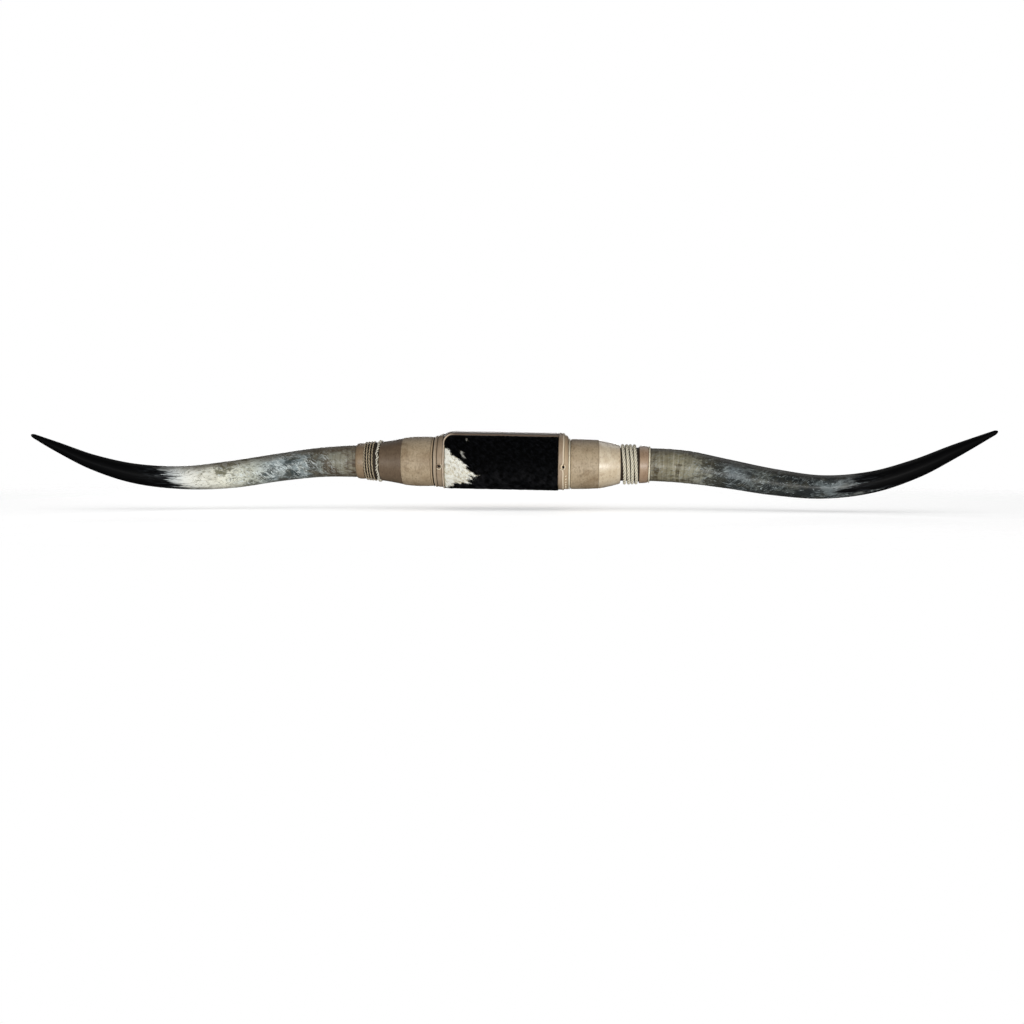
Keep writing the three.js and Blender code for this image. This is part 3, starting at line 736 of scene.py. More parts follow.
def leather_finish(name, main, stain, dark, edge, roughness, gloss=0.0, stain_share=0.5,
                   mirror=0.4):
    """Leather with soft stains, a fine grain, creases and cut edges of another colour, painted shade towards
    its top, and painted shade where cords lie over it.
    """
    f = Finish(name)
    place = f.object_place()
    lay = f.attribute("lay", "Vector")
    under = f.attribute("under")
    broad = f.noise(place, 22.0, 5, 0.6, 0.8)
    blots = f.noise(place, 64.0, 5, 0.65, 1.2)
    rubbed = f.streaks(lay, (46, 150, 150), 4, 0.6, 0.5)
    drag = f.streaks(lay, (420, 30, 30))
    spots = f.noise(place, 210.0, 2, 0.5)
    grain = f.streaks(lay, (300, 210, 210), 4, 0.65, 0.6)
    colour = f.layers(
        main,
        (broad.step(0.40, 0.68) * stain_share, stain), (blots.step(0.56, 0.74) * stain_share, stain),
        ((rubbed * drag).step(0.26, 0.42) * 0.3, dark), (spots.step(0.68, 0.78) * 0.4, dark),
        ((1 - grain.step(0.34, 0.52)) * 0.36, dark), (grain.step(0.52, 0.68) * 0.36, edge),
        # Painted shade: darker towards the top of the piece.
        ((f.part(lay, 2) * 22.0 + broad - 0.5).step(0.35, 1.15) * 0.3, dark),
        ((f.attribute("edge") + blots * 0.4 - 0.2).step(0.35, 0.85), edge),
        # Painted shade of the cords on the collar leather.
        (under * 0.95, (32, 24, 16)))
    creases = f.noise(f.scaled(place, (1.6, 1, 1)), 150.0, 4, 0.6, 1.5)
    height = f.cells(place, 950.0) * 0.35 + f.noise(place, 520.0, 3) * 0.5 + creases * 1.1 + broad * 1.2
    shine = roughness + blots * 0.12 - 0.06 + under * 0.35
    return f.done(colour, shine, Normal=f.bump(height, 0.0007, 0.5), Coat_Weight=(1 - under) * gloss,
                  Coat_Roughness=0.32, Specular_IOR_Level=mirror)


def band_finish(name, main, ridge, width, strength):
    """Band leather with a pale raised ridge, at a place on X, a brown strip towards the sleeve, a pale rim
    round the nail hole with a painted highlight, and painted shade in its grooves.
    """
    f = Finish(name)
    place = f.object_place()
    x = f.part(f.attribute("lay", "Vector"), 0)
    hole_rim_and_highlight = f.attribute("hole_rim_and_highlight")
    broad = f.noise(place, 40.0, 5, 0.6, 0.8)
    fine = f.noise(place, 260.0, 4, 0.6)
    side = 1 if ridge > 0 else -1
    beyond = (x * side).step(abs(ridge) + width * 0.8, abs(ridge) + width * 1.6)
    pale = (1 - abs(x - ridge).step(width * 0.55, width * 1.25)) * strength
    colour = f.layers(
        main,
        (broad.step(0.4, 0.65) * 0.6, (150, 128, 102)), (beyond * 0.8, (196, 172, 140)),
        (pale * (0.75 + fine * 0.5), (248, 232, 204)),
        # Pale puckered rim of the nail hole, with a painted highlight on its lower right side.
        ((hole_rim_and_highlight * fine * 2.0).step(0.35, 0.8) * 0.9, (248, 234, 206)),
        (f.attribute("edge").step(0.4, 0.9) * 0.2, (72, 58, 46)),
        # Painted shade in the band's grooves and at its sunken ends.
        (f.attribute("under") * 0.9, (34, 25, 18)))
    height = f.cells(place, 950.0) * 0.4 + fine * 0.8 + broad
    return f.done(colour, 0.46 + fine * 0.12, Normal=f.bump(height, 0.0006, 0.5), Specular_IOR_Level=0.4)


def cord_finish(name, main, shade, hollow_shade_colour, strands, roughness=0.8, hollow_shade_share=0.75):
    """Twisted cord: fine fibres slanting round each strand, with painted shade in the hollow between strands.
    """
    f = Finish(name)
    place = f.object_place()
    fuzz = f.noise(place, 900.0, 4, 0.7)
    soil = f.noise(place, 90.0, 4, 0.6)
    slant = f.attribute("around") * strands + f.attribute("run") * 2600.0 + fuzz * 3.0
    slant = slant.sine() * 0.5 + 0.5
    colour = f.layers(
        f.mix((slant * fuzz).step(0.1, 0.45), shade, main), (soil.step(0.5, 0.75) * 0.4, shade),
        # Painted shade between the strands.
        ((1 - f.attribute("crest").step(0.55, 0.88)) * hollow_shade_share, hollow_shade_colour))
    return f.done(colour, roughness, Normal=f.bump(slant * 0.8 + fuzz * 0.6, 0.0004, 0.6),
                  Specular_IOR_Level=0.25)


def edge_cord_finish(name, main, along_top, roughness=0.6):
    """Smooth edging cord: one colour up the left side of the hide and another along its top."""
    f = Finish(name)
    place = f.object_place()
    blots = f.noise(place, 120.0, 4, 0.6)
    top = (f.part(place, 0) + (blots - 0.5) * 0.01).step(-0.104, -0.085)
    colour = f.layers(main, (top, along_top), (blots.step(0.52, 0.75) * 0.45, (96, 82, 66)))
    return f.done(colour, roughness, Normal=f.bump(f.noise(place, 600.0), 0.0003, 0.6),
                  Specular_IOR_Level=0.3)


def gleam(f, black):
    """Soft lighter patches where the lower half of the dark hair catches the light."""
    place = f.object_place()
    low = 1 - f.part(place, 2).step(-0.04, 0.004)
    return f.mix(f.noise(place, 75.0, 4, 0.6).step(0.42, 0.7) * low * 0.55, black, (50, 50, 53))


def coat_finish(name):
    """Short cowhide hair: near black or cream by lock; cream locks darker towards the roots and in low gaps
    between tufts, partly painted shade.
    """
    f = Finish(name)
    white = f.attribute("white")
    shade = f.attribute("shade")
    black = gleam(f, f.mix(shade.step(0.3, 0.9), (2, 2, 2), (24, 25, 28)))
    # Cream locks darker towards the root: tan roots, and painted shade at the base of the coat.
    cream = f.mix(f.attribute("tip").step(0.0, 0.5), (182, 172, 144), (255, 255, 246))
    # Darker cream locks: random tone, and painted shade where the tufts lie low.
    cream = f.mix(shade.step(0.3, 0.9), cream, (204, 192, 160))
    return f.done(f.mix(white, black, cream), 0.5 + white * 0.1, Specular_IOR_Level=0.03)


def skin_finish(name):
    """The hide under its coat, with the coat's markings and the lie of its hair."""
    f = Finish(name)
    hair = f.streaks(f.attribute("comb", "Vector"), (260, 2400, 1), 4, 0.6, 0.3)
    black = gleam(f, f.mix(hair.step(0.35, 0.75), (3, 3, 4), (16, 16, 17)))
    cream = f.mix(hair.step(0.3, 0.7), (150, 138, 112), (236, 228, 206))
    height = hair + f.noise(f.object_place(), 700.0)
    return f.done(f.mix(f.attribute("white"), black, cream), 0.6, Normal=f.bump(height, 0.0005, 0.8),
                  Specular_IOR_Level=0.04)


def wood_finish(name):
    """Plain pale softwood, sawn and unpainted."""
    f = Finish(name)
    place = f.object_place()
    across = f.part(place, 2) + f.noise(place, 9.0, 3, 0.5) * 0.02
    grain = (across * 900.0 + f.streaks(place, (14, 60, 60), 5, 0.55) * 6.0).sine() * 0.5 + 0.5
    fibre = f.streaks(place, (60, 1500, 1500))
    colour = f.layers(
        (206, 172, 124), (grain * 0.6, (166, 124, 78)), (fibre.step(0.45, 0.75) * 0.5, (142, 104, 66)),
        (f.noise(place, 40.0).step(0.5, 0.8) * 0.3, (112, 86, 60)))
    return f.done(colour, 0.7, Normal=f.bump(grain * 0.4 + fibre, 0.0004, 0.6))


def metal_finish(name, main, spot, metallic, roughness):
    """Metal with scratches and dull spots."""
    f = Finish(name)
    place = f.object_place()
    scratch = f.streaks(place, (90, 2600, 2600))
    spots = f.noise(place, 420.0, 4, 0.65).step(0.5, 0.72)
    return f.done(f.mix(spots * 0.7, main, spot), roughness + spots * 0.25 + scratch * 0.1,
                  Normal=f.bump(scratch, 0.0001, 0.4), Metallic=metallic)


def floor_finish(name, radius):
    """White floor with a soft glow of its own, clear towards its edge."""
    f = Finish(name)
    place = f.object_place()
    away = f.add("ShaderNodeVectorMath", {"operation": "LENGTH"}, {0: f.scaled(place, (0.6, 1.3, 1))},
                 "Value")
    f.put(f.shader.inputs["Alpha"], 1 - away.step(radius * 0.2, radius * 0.52))
    colour = f.mix(f.noise(place, 3.0, 3) * 0.01, Color((0.8, 0.8, 0.8)), Color((0.78, 0.78, 0.79)))
    return f.done(colour, 0.9, Specular_IOR_Level=0.1, Emission_Color=(255, 255, 255),
                  Emission_Strength=0.36)


# Geometry Nodes trees

class Growth(Maker):
    """A Geometry Nodes tree with named inputs, which ends by setting a material."""

    def __init__(self, name, **inputs):
        super().__init__(bpy.data.node_groups.new(name, "GeometryNodeTree"))
        sockets = self.tree.interface
        sockets.new_socket("Geometry", in_out="INPUT", socket_type="NodeSocketGeometry")
        for label, default in inputs.items():
            kind = "NodeSocketInt" if isinstance(default, int) else "NodeSocketFloat"
            socket = sockets.new_socket(label.replace("_", " "), in_out="INPUT", socket_type=kind)
            socket.default_value = default
        sockets.new_socket("Material", in_out="INPUT", socket_type="NodeSocketMaterial")
        sockets.new_socket("Geometry", in_out="OUTPUT", socket_type="NodeSocketGeometry")
        self.start = self.tree.nodes.new("NodeGroupInput")

    def given(self, label):
        return Level(self, self.start.outputs[label])

    def path(self, spacing):
        """The path that is handed in, as a curve with its points at even spacing."""
        curve = self.add("GeometryNodeMeshToCurve", None, {"Mesh": self.given("Geometry")})
        return self.add("GeometryNodeResampleCurve", {"mode": "LENGTH"},
                        {"Curve": curve, "Length": self.given(spacing)})

    def store(self, geometry, name, value):
        return self.add("GeometryNodeStoreNamedAttribute", {"data_type": "FLOAT", "domain": "POINT"},
                        {"Geometry": geometry, "Name": name, "Value": value})

    def finish(self, geometry):
        real = self.add("GeometryNodeRealizeInstances", None, {0: geometry})
        dressed = self.add("GeometryNodeSetMaterial", None, {0: real, "Material": self.given("Material")})
        end = self.tree.nodes.new("NodeGroupOutput")
        self.tree.links.new(dressed.socket, end.inputs[0])
        return self.tree


def cord_tree():
    """Strands that twist round each other along a path."""
    s = Growth("Twisted cord", Strands=2, Strand_Radius=0.001, Strand_Offset=0.001, Twist_Length=0.01,
               Step=0.0005, Sides=10)
    length = s.add("GeometryNodeSplineParameter", output="Length")
    turn = length / s.given("Twist Length") * (2 * math.pi)
    curve = s.add("GeometryNodeSetCurveTilt", None, {"Curve": s.path("Step"), "Tilt": turn})
    curve = s.store(curve, "run", length)
    ring = s.add("GeometryNodeCurvePrimitiveCircle", None,
                 {"Resolution": s.given("Sides"), "Radius": s.given("Strand Radius")})
    share = s.add("GeometryNodeSplineParameter", output="Factor")
    ring = s.store(ring, "around", share * (2 * math.pi))
    angle = s.add("GeometryNodeInputIndex") / s.given("Strands") * (2 * math.pi)
    offset = s.given("Strand Offset")
    spot = s.add("ShaderNodeCombineXYZ", None, {0: angle.cosine() * offset, 1: angle.sine() * offset})
    points = s.add("GeometryNodePoints", None, {"Count": s.given("Strands"), "Position": spot})
    rings = s.add("GeometryNodeInstanceOnPoints", None, {"Points": points, "Instance": ring})
    rings = s.add("GeometryNodeRealizeInstances", None, {0: rings})
    off_axis = s.add("ShaderNodeVectorMath", {"operation": "LENGTH"},
                     {0: s.add("GeometryNodeInputPosition")}, "Value")
    rings = s.store(rings, "crest", off_axis / (s.given("Strand Radius") + offset))
    return s.finish(s.add("GeometryNodeCurveToMesh", None,
                          {"Curve": curve, "Profile Curve": rings, "Fill Caps": True}))


def row_tree(name, segments, rings):
    """Small rounded shapes set along a path, each facing out of the surface it lies on."""
    s = Growth(name, Spacing=0.01, Length=0.004, Width=0.001, Height=0.0006, Slant=0.0)
    out = s.add("GeometryNodeInputNamedAttribute", {"data_type": "FLOAT_VECTOR"}, {"Name": "out"})
    facing = s.add("FunctionNodeAxesToRotation", {"primary_axis": "Z", "secondary_axis": "X"},
                   {0: out, 1: s.add("GeometryNodeInputTangent")})
    spin = s.add("ShaderNodeCombineXYZ", None, {2: s.given("Slant")})
    facing = s.add("FunctionNodeRotateRotation", {"rotation_space": "LOCAL"},
                   {0: facing, 1: s.add("FunctionNodeEulerToRotation", None, {0: spin})})
    ball = s.add("GeometryNodeMeshUVSphere", None, {"Segments": segments, "Rings": rings, "Radius": 0.5})
    ball = s.add("GeometryNodeSetShadeSmooth", None, {0: ball, "Shade Smooth": True})
    size = s.add("ShaderNodeCombineXYZ", None,
                 {0: s.given("Length"), 1: s.given("Width"), 2: s.given("Height")})
    return s.finish(s.add("GeometryNodeInstanceOnPoints", None, {
        "Points": s.path("Spacing"), "Instance": ball, "Rotation": facing, "Scale": size}))


def grow(points, tree, name, finish, slot, nodes=(), closed=False, out=None, **values):
    """Runs a Geometry Nodes tree on a path and keeps the result as a plain piece.

    The path is a row of points in millimetres, with a direction out of its surface where the tree
    asks for one.
    """
    count = len(points)
    edges = [(i, i + 1) for i in range(count - 1)] + ([(count - 1, 0)] if closed else [])
    path = bpy.data.meshes.new("path")
    path.from_pydata((np.asarray(points) * MM).tolist(), edges, [])
    if out is not None:
        layer = path.attributes.new("out", "FLOAT_VECTOR", "POINT")
        layer.data.foreach_set("vector", np.asarray(out, float).ravel())
    holder = linked("path", path)
    modifier = holder.modifiers.new("Grow", "NODES")
    modifier.node_group = tree
    values["Material"] = finish
    for item in tree.interface.items_tree:
        key = item.name.replace(" ", "_")
        if item.in_out == "INPUT" and key in values:
            modifier[item.identifier] = values[key]
    evaluated = holder.evaluated_get(bpy.context.evaluated_depsgraph_get())
    mesh = bpy.data.meshes.new_from_object(evaluated)
    bpy.data.objects.remove(holder)
    mesh.name = name
    mesh.polygons.foreach_set("use_smooth", [True] * len(mesh.polygons))
    return place_piece(face_outwards(mesh), finish, slot, *nodes)


def twisted(points, name, finish, slot, node, cord, strands, twist, closed=False, step=0.0006, sides=10):
    """Cord of a given radius along a path, in one strand or several."""
    radius = cord * MM
    strand = radius if strands == 1 else radius * 0.52
    return grow(points, bpy.data.node_groups["Twisted cord"], name, finish, slot, [node], closed,
                Strands=strands, Strand_Radius=strand, Strand_Offset=radius - strand,
                Twist_Length=twist, Step=step, Sides=sides)


# Shapes

def mark_values(marks, x, up):
    """Pale and dark marks of a horn, with ragged outlines."""
    place = x + 5 * waver(2, 0.09, 3)(x, up) + 2.2 * waver(3, 0.3, 9)(x, up)
    level = up + 0.13 * waver(4, 0.09, 3)(x, up) + 0.07 * waver(5, 0.35, 9)(x, up)
    total = np.zeros(np.broadcast(x, up).shape)
    for at, height, length, reach, strength in marks:
        off = ((place - at) / length) ** 2 + ((level - height) / reach) ** 2
        total = total + strength * np.exp(-off * 0.8)
    return total


def horn_mesh(name, arm, girth, marks, seed, ring_depth):
    """Fine horn with low growth rings near the base and faint flutes along it."""
    start, end = girth[0][0], girth[-1][0]
    tip_start = end - TIP_ROUND
    x = np.concatenate([start + (tip_start - start) * np.linspace(0, 1, 330),
                        tip_start + TIP_ROUND * np.sin(np.linspace(0.06, 1, 12) * math.pi / 2 * 0.985)])
    past = np.clip((x - tip_start) / TIP_ROUND, 0, 1)
    radius = along(girth, 1, x)[0] / 2 * np.sqrt(1 - past * past)
    angle = full_turn(88)
    rings = waver(seed, 0.75, 0)(x, 0) * (1 - smooth_step(start + 60, start + 230, x))
    flutes = waver(seed + 1, 0.012, 0)
    fluting = np.sin(5 * angle + 2.2 * flutes(x, 0)[:, None]) * 0.12
    fluting = fluting + np.sin(9 * angle + 3 * flutes(x + 90, 0)[:, None]) * 0.06
    fade = np.clip(radius / 12, 0, 1) * (1 - smooth_step(tip_start - 40, tip_start, x))
    swell = rings[:, None] * ring_depth / MM + fluting * fade[:, None]
    r = radius[:, None] + swell
    points, faces = capped(arm_point(arm, x[:, None], r, angle))
    values = {"lay": lay_values(x[:, None], r * np.cos(angle), r * np.sin(angle)),
              "up": with_ends(np.tile(np.sin(angle), len(x))),
              "mark": with_ends(mark_values(marks, x[:, None], np.sin(angle)))}
    return make_mesh(name, points, faces, values)


def sleeve_mesh(name, arm, profile, seed, dents, under):
    """Leather sleeve round an arm, slightly uneven, with a butted seam along its back."""
    rows = spaced(softened(profile), 1.1)
    x, radius = rows[:, 0], rows[:, 1]
    angle = full_turn(144)
    start, end = x.min(), x.max()
    inside = smooth_step(start, start + 3, x) * (1 - smooth_step(end - 3, end, x))
    broad = waver(seed, 0.07, 0)
    bumps = sum(np.sin(k * angle + 2 * waver(seed + k, 0.06, 0)(x, 0)[:, None]) for k in (2, 3, 5))
    swell = (broad(x, 0)[:, None] * 0.5 + bumps * 0.3) * UNEVENNESS * inside[:, None]
    away = (angle - math.pi) * radius[:, None]
    groove = 0.9 * np.exp(-away ** 2)
    lips = 0.45 * np.exp(-((np.abs(away) - 2.6) / 1.6) ** 2)
    swell = swell - groove + lips
    if dents is not None:
        swell = swell + 0.06 * dents(x[:, None], np.sin(angle))
    r = radius[:, None] + swell
    points, faces = capped(arm_point(arm, x[:, None], r, angle))
    # Stretches of the collar that take the cords' painted shade.
    shaded = np.zeros(len(x))
    for low, high in under:
        shaded = np.maximum(shaded, smooth_step(low - 0.8, low, x) * (1 - smooth_step(high, high + 0.8, x)))
    values = {"lay": lay_values(x[:, None], r * np.cos(angle), r * np.sin(angle)),
              "edge": edge_values(x, len(angle), 1.3), "under": with_ends(np.repeat(shaded, len(angle)))}
    return make_mesh(name, points, faces, values)


def angles_near(centre):
    """Angles round the section, closer together near one of them."""
    even = full_turn(220)
    off = (even - centre + math.pi) % (2 * math.pi) - math.pi
    near = centre + np.linspace(-FINE_REACH, FINE_REACH, 56)
    return np.sort(np.concatenate([even[np.abs(off) > FINE_REACH + 0.01], near % (2 * math.pi)]))


def band_mesh(name, profile, nail, ridge, seed):
    """End band of the block with its moulding, its puckered nail hole and uneven leather."""
    rows = spaced(softened(profile, 2), 0.42)
    nail_angle = math.asin(nail[1] / BLOCK_HALF_HEIGHT)
    angle = angles_near(nail_angle)
    x, lift = rows[:, 0][:, None], rows[:, 1][:, None]
    seat = block_point(nail[0], nail_angle, 0.6)
    height = block_point(x, angle)[..., 2] - seat[2]
    facing = np.cos(angle) > 0
    pull = np.where(facing, np.exp(-(height / 5.2) ** 2), 0)
    bend = ridge * pull * np.exp(-((x - nail[0]) / 5.0) ** 2)
    inside = smooth_step(0.5, 3, np.minimum(x - x.min(), x.max() - x))
    place = x + bend + 0.25 * waver(seed, 0.05, 0)(height * 2.4 + x * 0, 0) * inside
    points = block_point(place, angle, lift + 0.18 * waver(seed + 1, 0.3, 2)(x, np.sin(angle)))
    away = np.hypot(points[..., 0] - seat[0], points[..., 2] - seat[2])
    away = np.where(facing & (np.abs(points[..., 1] - seat[1]) < 12), away, 99)
    lips = 0.75 * np.exp(-((away - HOLE["lips"]) / 1.1) ** 2)
    hole = HOLE["depth"] * (1 - smooth_step(HOLE["floor"], HOLE["edge"], away))
    points[..., 1] += hole - lips
    flat, faces = capped(points)
    # Lower right side of the hole's rim, which takes the painted highlight.
    side = smooth_step(-4, 4, points[..., 0] - seat[0] - points[..., 2] + seat[2])
    # Where the band sinks below the leather, for the painted shade in its grooves.
    deep = 1 - smooth_step(-0.9, 0.25, rows[:, 1])
    values = {"lay": lay_values(x, height, angle),
              "hole_rim_and_highlight": with_ends(np.exp(-((away - 5.2) / 1.2) ** 2) * (0.3 + 0.7 * side)),
              "edge": edge_values(rows[:, 0], len(angle), 0.8),
              "under": with_ends(np.repeat(deep, len(angle)))}
    return make_mesh(name, flat, faces, values)


def leather_behind(x, z):
    """Depth of the block's leather at a place on its back, without the lean."""
    angle = np.radians(np.arange(96, 265, 0.5))
    wall = block_point(x, angle)
    order = np.argsort(wall[:, 2])
    return float(np.interp(z, wall[order, 2], wall[order, 1]))


def board_pocket():
    """Box that cuts the pocket of the back board out of the block, a little wider and reaching past it."""
    gap, spare = 0.6, 8
    size = (BOARD["length"] + gap, POCKET_DEPTH + spare, BOARD["height"] + gap)
    corners = np.array([(x, y, z) for x in (-0.5, 0.5) for y in (0, 1) for z in (-0.5, 0.5)], float)
    corners = corners * size - np.array([0, POCKET_DEPTH, 0])
    faces = [(0, 1, 3, 2), (4, 6, 7, 5), (0, 4, 5, 1), (2, 3, 7, 6), (0, 2, 6, 4), (1, 5, 7, 3)]
    return make_mesh("board_pocket", lean(corners), faces)


def body_mesh(name, seed):
    """Leather-covered block with a pocket for the board."""
    x = np.linspace(BLOCK_LEFT, BLOCK_RIGHT, 74)[:, None]
    angle = full_turn(260)
    lift = 0.22 * waver(seed, 0.035, 2.2)(x, np.sin(angle)) + 0.1 * waver(seed + 1, 0.3, 9)(x, np.cos(angle))
    at_end = 1 - smooth_step(0, 3, np.minimum(x - BLOCK_LEFT, BLOCK_RIGHT - x))
    flat, faces = capped(block_point(x, angle, lift - 1.2 * at_end))
    values = {"lay": lay_values(x, 50 * np.cos(angle), 50 * np.sin(angle)), "edge": np.zeros(len(flat))}
    body = linked(name, make_mesh(name, flat, faces, values))
    tool = linked("board_pocket", board_pocket())
    cut = body.modifiers.new("Pocket", "BOOLEAN")
    cut.operation = "DIFFERENCE"
    cut.object = tool
    mesh = bpy.data.meshes.new_from_object(body.evaluated_get(bpy.context.evaluated_depsgraph_get()))
    for item in (body, tool):
        bpy.data.meshes.remove(item.data)
    mesh.name = name
    for face in mesh.polygons:
        face.use_smooth = abs(face.normal.y) < 0.999 or abs(face.center.y / MM + POCKET_DEPTH) > 0.8
    return mesh


def corner_inset(angle):
    """How far the rounded upper left corner draws the hide's edge in at an angle."""
    below = (math.radians(HIDE_TOP_DEG) - angle) * (BLOCK_HALF_HEIGHT + 4)
    up = np.clip(HIDE_CORNER - np.maximum(below, 0), 0, HIDE_CORNER)
    return HIDE_CORNER - np.sqrt(HIDE_CORNER ** 2 - up ** 2)


def inside_patch(x, arc):
    """Whether places of the hide lie in the white patch, with a ragged edge."""
    wobble = waver(31, 0.55, 0.55)
    px = x + 1.5 * wobble(x, arc)
    py = arc + 1.5 * wobble(arc + 40, x)
    corners = [(cx, arc_at_height(cz)) for cx, cz in WHITE_PATCH]
    found = np.zeros(np.shape(px), bool)
    for (ax, ay), (bx, by) in zip(corners, corners[1:] + corners[:1]):
        crosses = (ay > py) != (by > py)
        with np.errstate(divide="ignore", invalid="ignore"):
            meet = (bx - ax) * (py - ay) / (by - ay) + ax
        found ^= crosses & (px < meet)
    return found


def whiteness(x, arc):
    """1 in the white patch, part way in the grey wisps, 0 in the black coat."""
    value = inside_patch(x, arc).astype(float)
    for (wx, wz), size, level in GREY_WISPS:
        away = np.hypot(x - wx, (arc - arc_at_height(wz)) * 0.6)
        value = np.maximum(value, level * (away < size))
    return value


ARC_TOP = float(arc_at(math.radians(HIDE_TOP_DEG)))
ARC_UNDER = float(arc_at(math.radians(HIDE_UNDER_DEG)))


def unwrap(x, arc):
    """Place of a point of the hide on its unwrap, 0 to 1 both ways."""
    return ((x - HIDE_LEFT) / (HIDE_RIGHT - HIDE_LEFT), (arc - ARC_UNDER) / (ARC_TOP - ARC_UNDER))


def skin_mesh(name):
    """The hide itself, a thin closed sheet over the front and the underside of the block."""
    across, down = 150, 150
    arc = np.linspace(ARC_TOP, ARC_UNDER, down)[:, None]
    angle = angle_at(arc)
    left = HIDE_LEFT + corner_inset(angle)
    x = left + (HIDE_RIGHT - left) * np.linspace(0, 1, across)
    rim = np.minimum(np.minimum(x - left, HIDE_RIGHT - x), np.minimum(ARC_TOP - arc, arc - ARC_UNDER))
    outer = block_point(x, angle, SKIN_LIFT[1] - 0.6 * (1 - smooth_step(0, 2.5, rim)))
    inner = block_point(x, angle, SKIN_LIFT[0])
    points = np.concatenate([outer.reshape(-1, 3), inner.reshape(-1, 3)])
    sheet = grid_faces(down, across, False)
    size = down * across
    border = list(range(across))
    border += [(r + 1) * across - 1 for r in range(1, down)]
    border += [size - 1 - i for i in range(1, across)]
    border += [(down - 1 - r) * across for r in range(1, down - 1)]
    walls = [(a, b, b + size, a + size) for a, b in zip(border, border[1:] + border[:1])]
    faces = list(sheet) + list(sheet[:, ::-1] + size) + walls
    flow = np.stack(np.broadcast_arrays((x * 0.6 - arc * 0.8), (x * 0.8 + arc * 0.6), x * 0), -1)
    # The locks that show at a place are rooted a little above it and to its left.
    white = whiteness(x + 3, np.broadcast_to(arc, x.shape) - 4)
    values = {"white": np.tile(white.ravel(), 2), "comb": np.tile(flow.reshape(-1, 3), (2, 1)) * MM}
    mesh = make_mesh(name, points, faces, values)
    outward_normals(mesh)
    return mesh


def outward_normals(mesh):
    """Turns the faces of every closed shape of a mesh outwards, each shape on its own."""
    work = bmesh.new()
    work.from_mesh(mesh)
    bmesh.ops.recalc_face_normals(work, faces=work.faces)
    work.to_mesh(mesh)
    work.free()


def scatter(count, seed):
    """Roots of locks spread evenly over the hide: place along X and arc length."""
    rng = np.random.default_rng(seed)
    width, height = HIDE_RIGHT - HIDE_LEFT, ARC_TOP - ARC_UNDER
    columns = int(round(math.sqrt(count * width / height)))
    rows = int(round(count / columns))
    c, r = np.meshgrid(np.arange(columns), np.arange(rows))
    x = HIDE_LEFT + width * (c + 0.5 + rng.uniform(-0.48, 0.48, c.shape)) / columns
    arc = ARC_UNDER + height * (r + 0.5 + rng.uniform(-0.48, 0.48, c.shape)) / rows
    x, arc = x.ravel(), arc.ravel()
    clear = x > HIDE_LEFT + 0.6 + corner_inset(angle_at(arc))
    return x[clear], arc[clear]


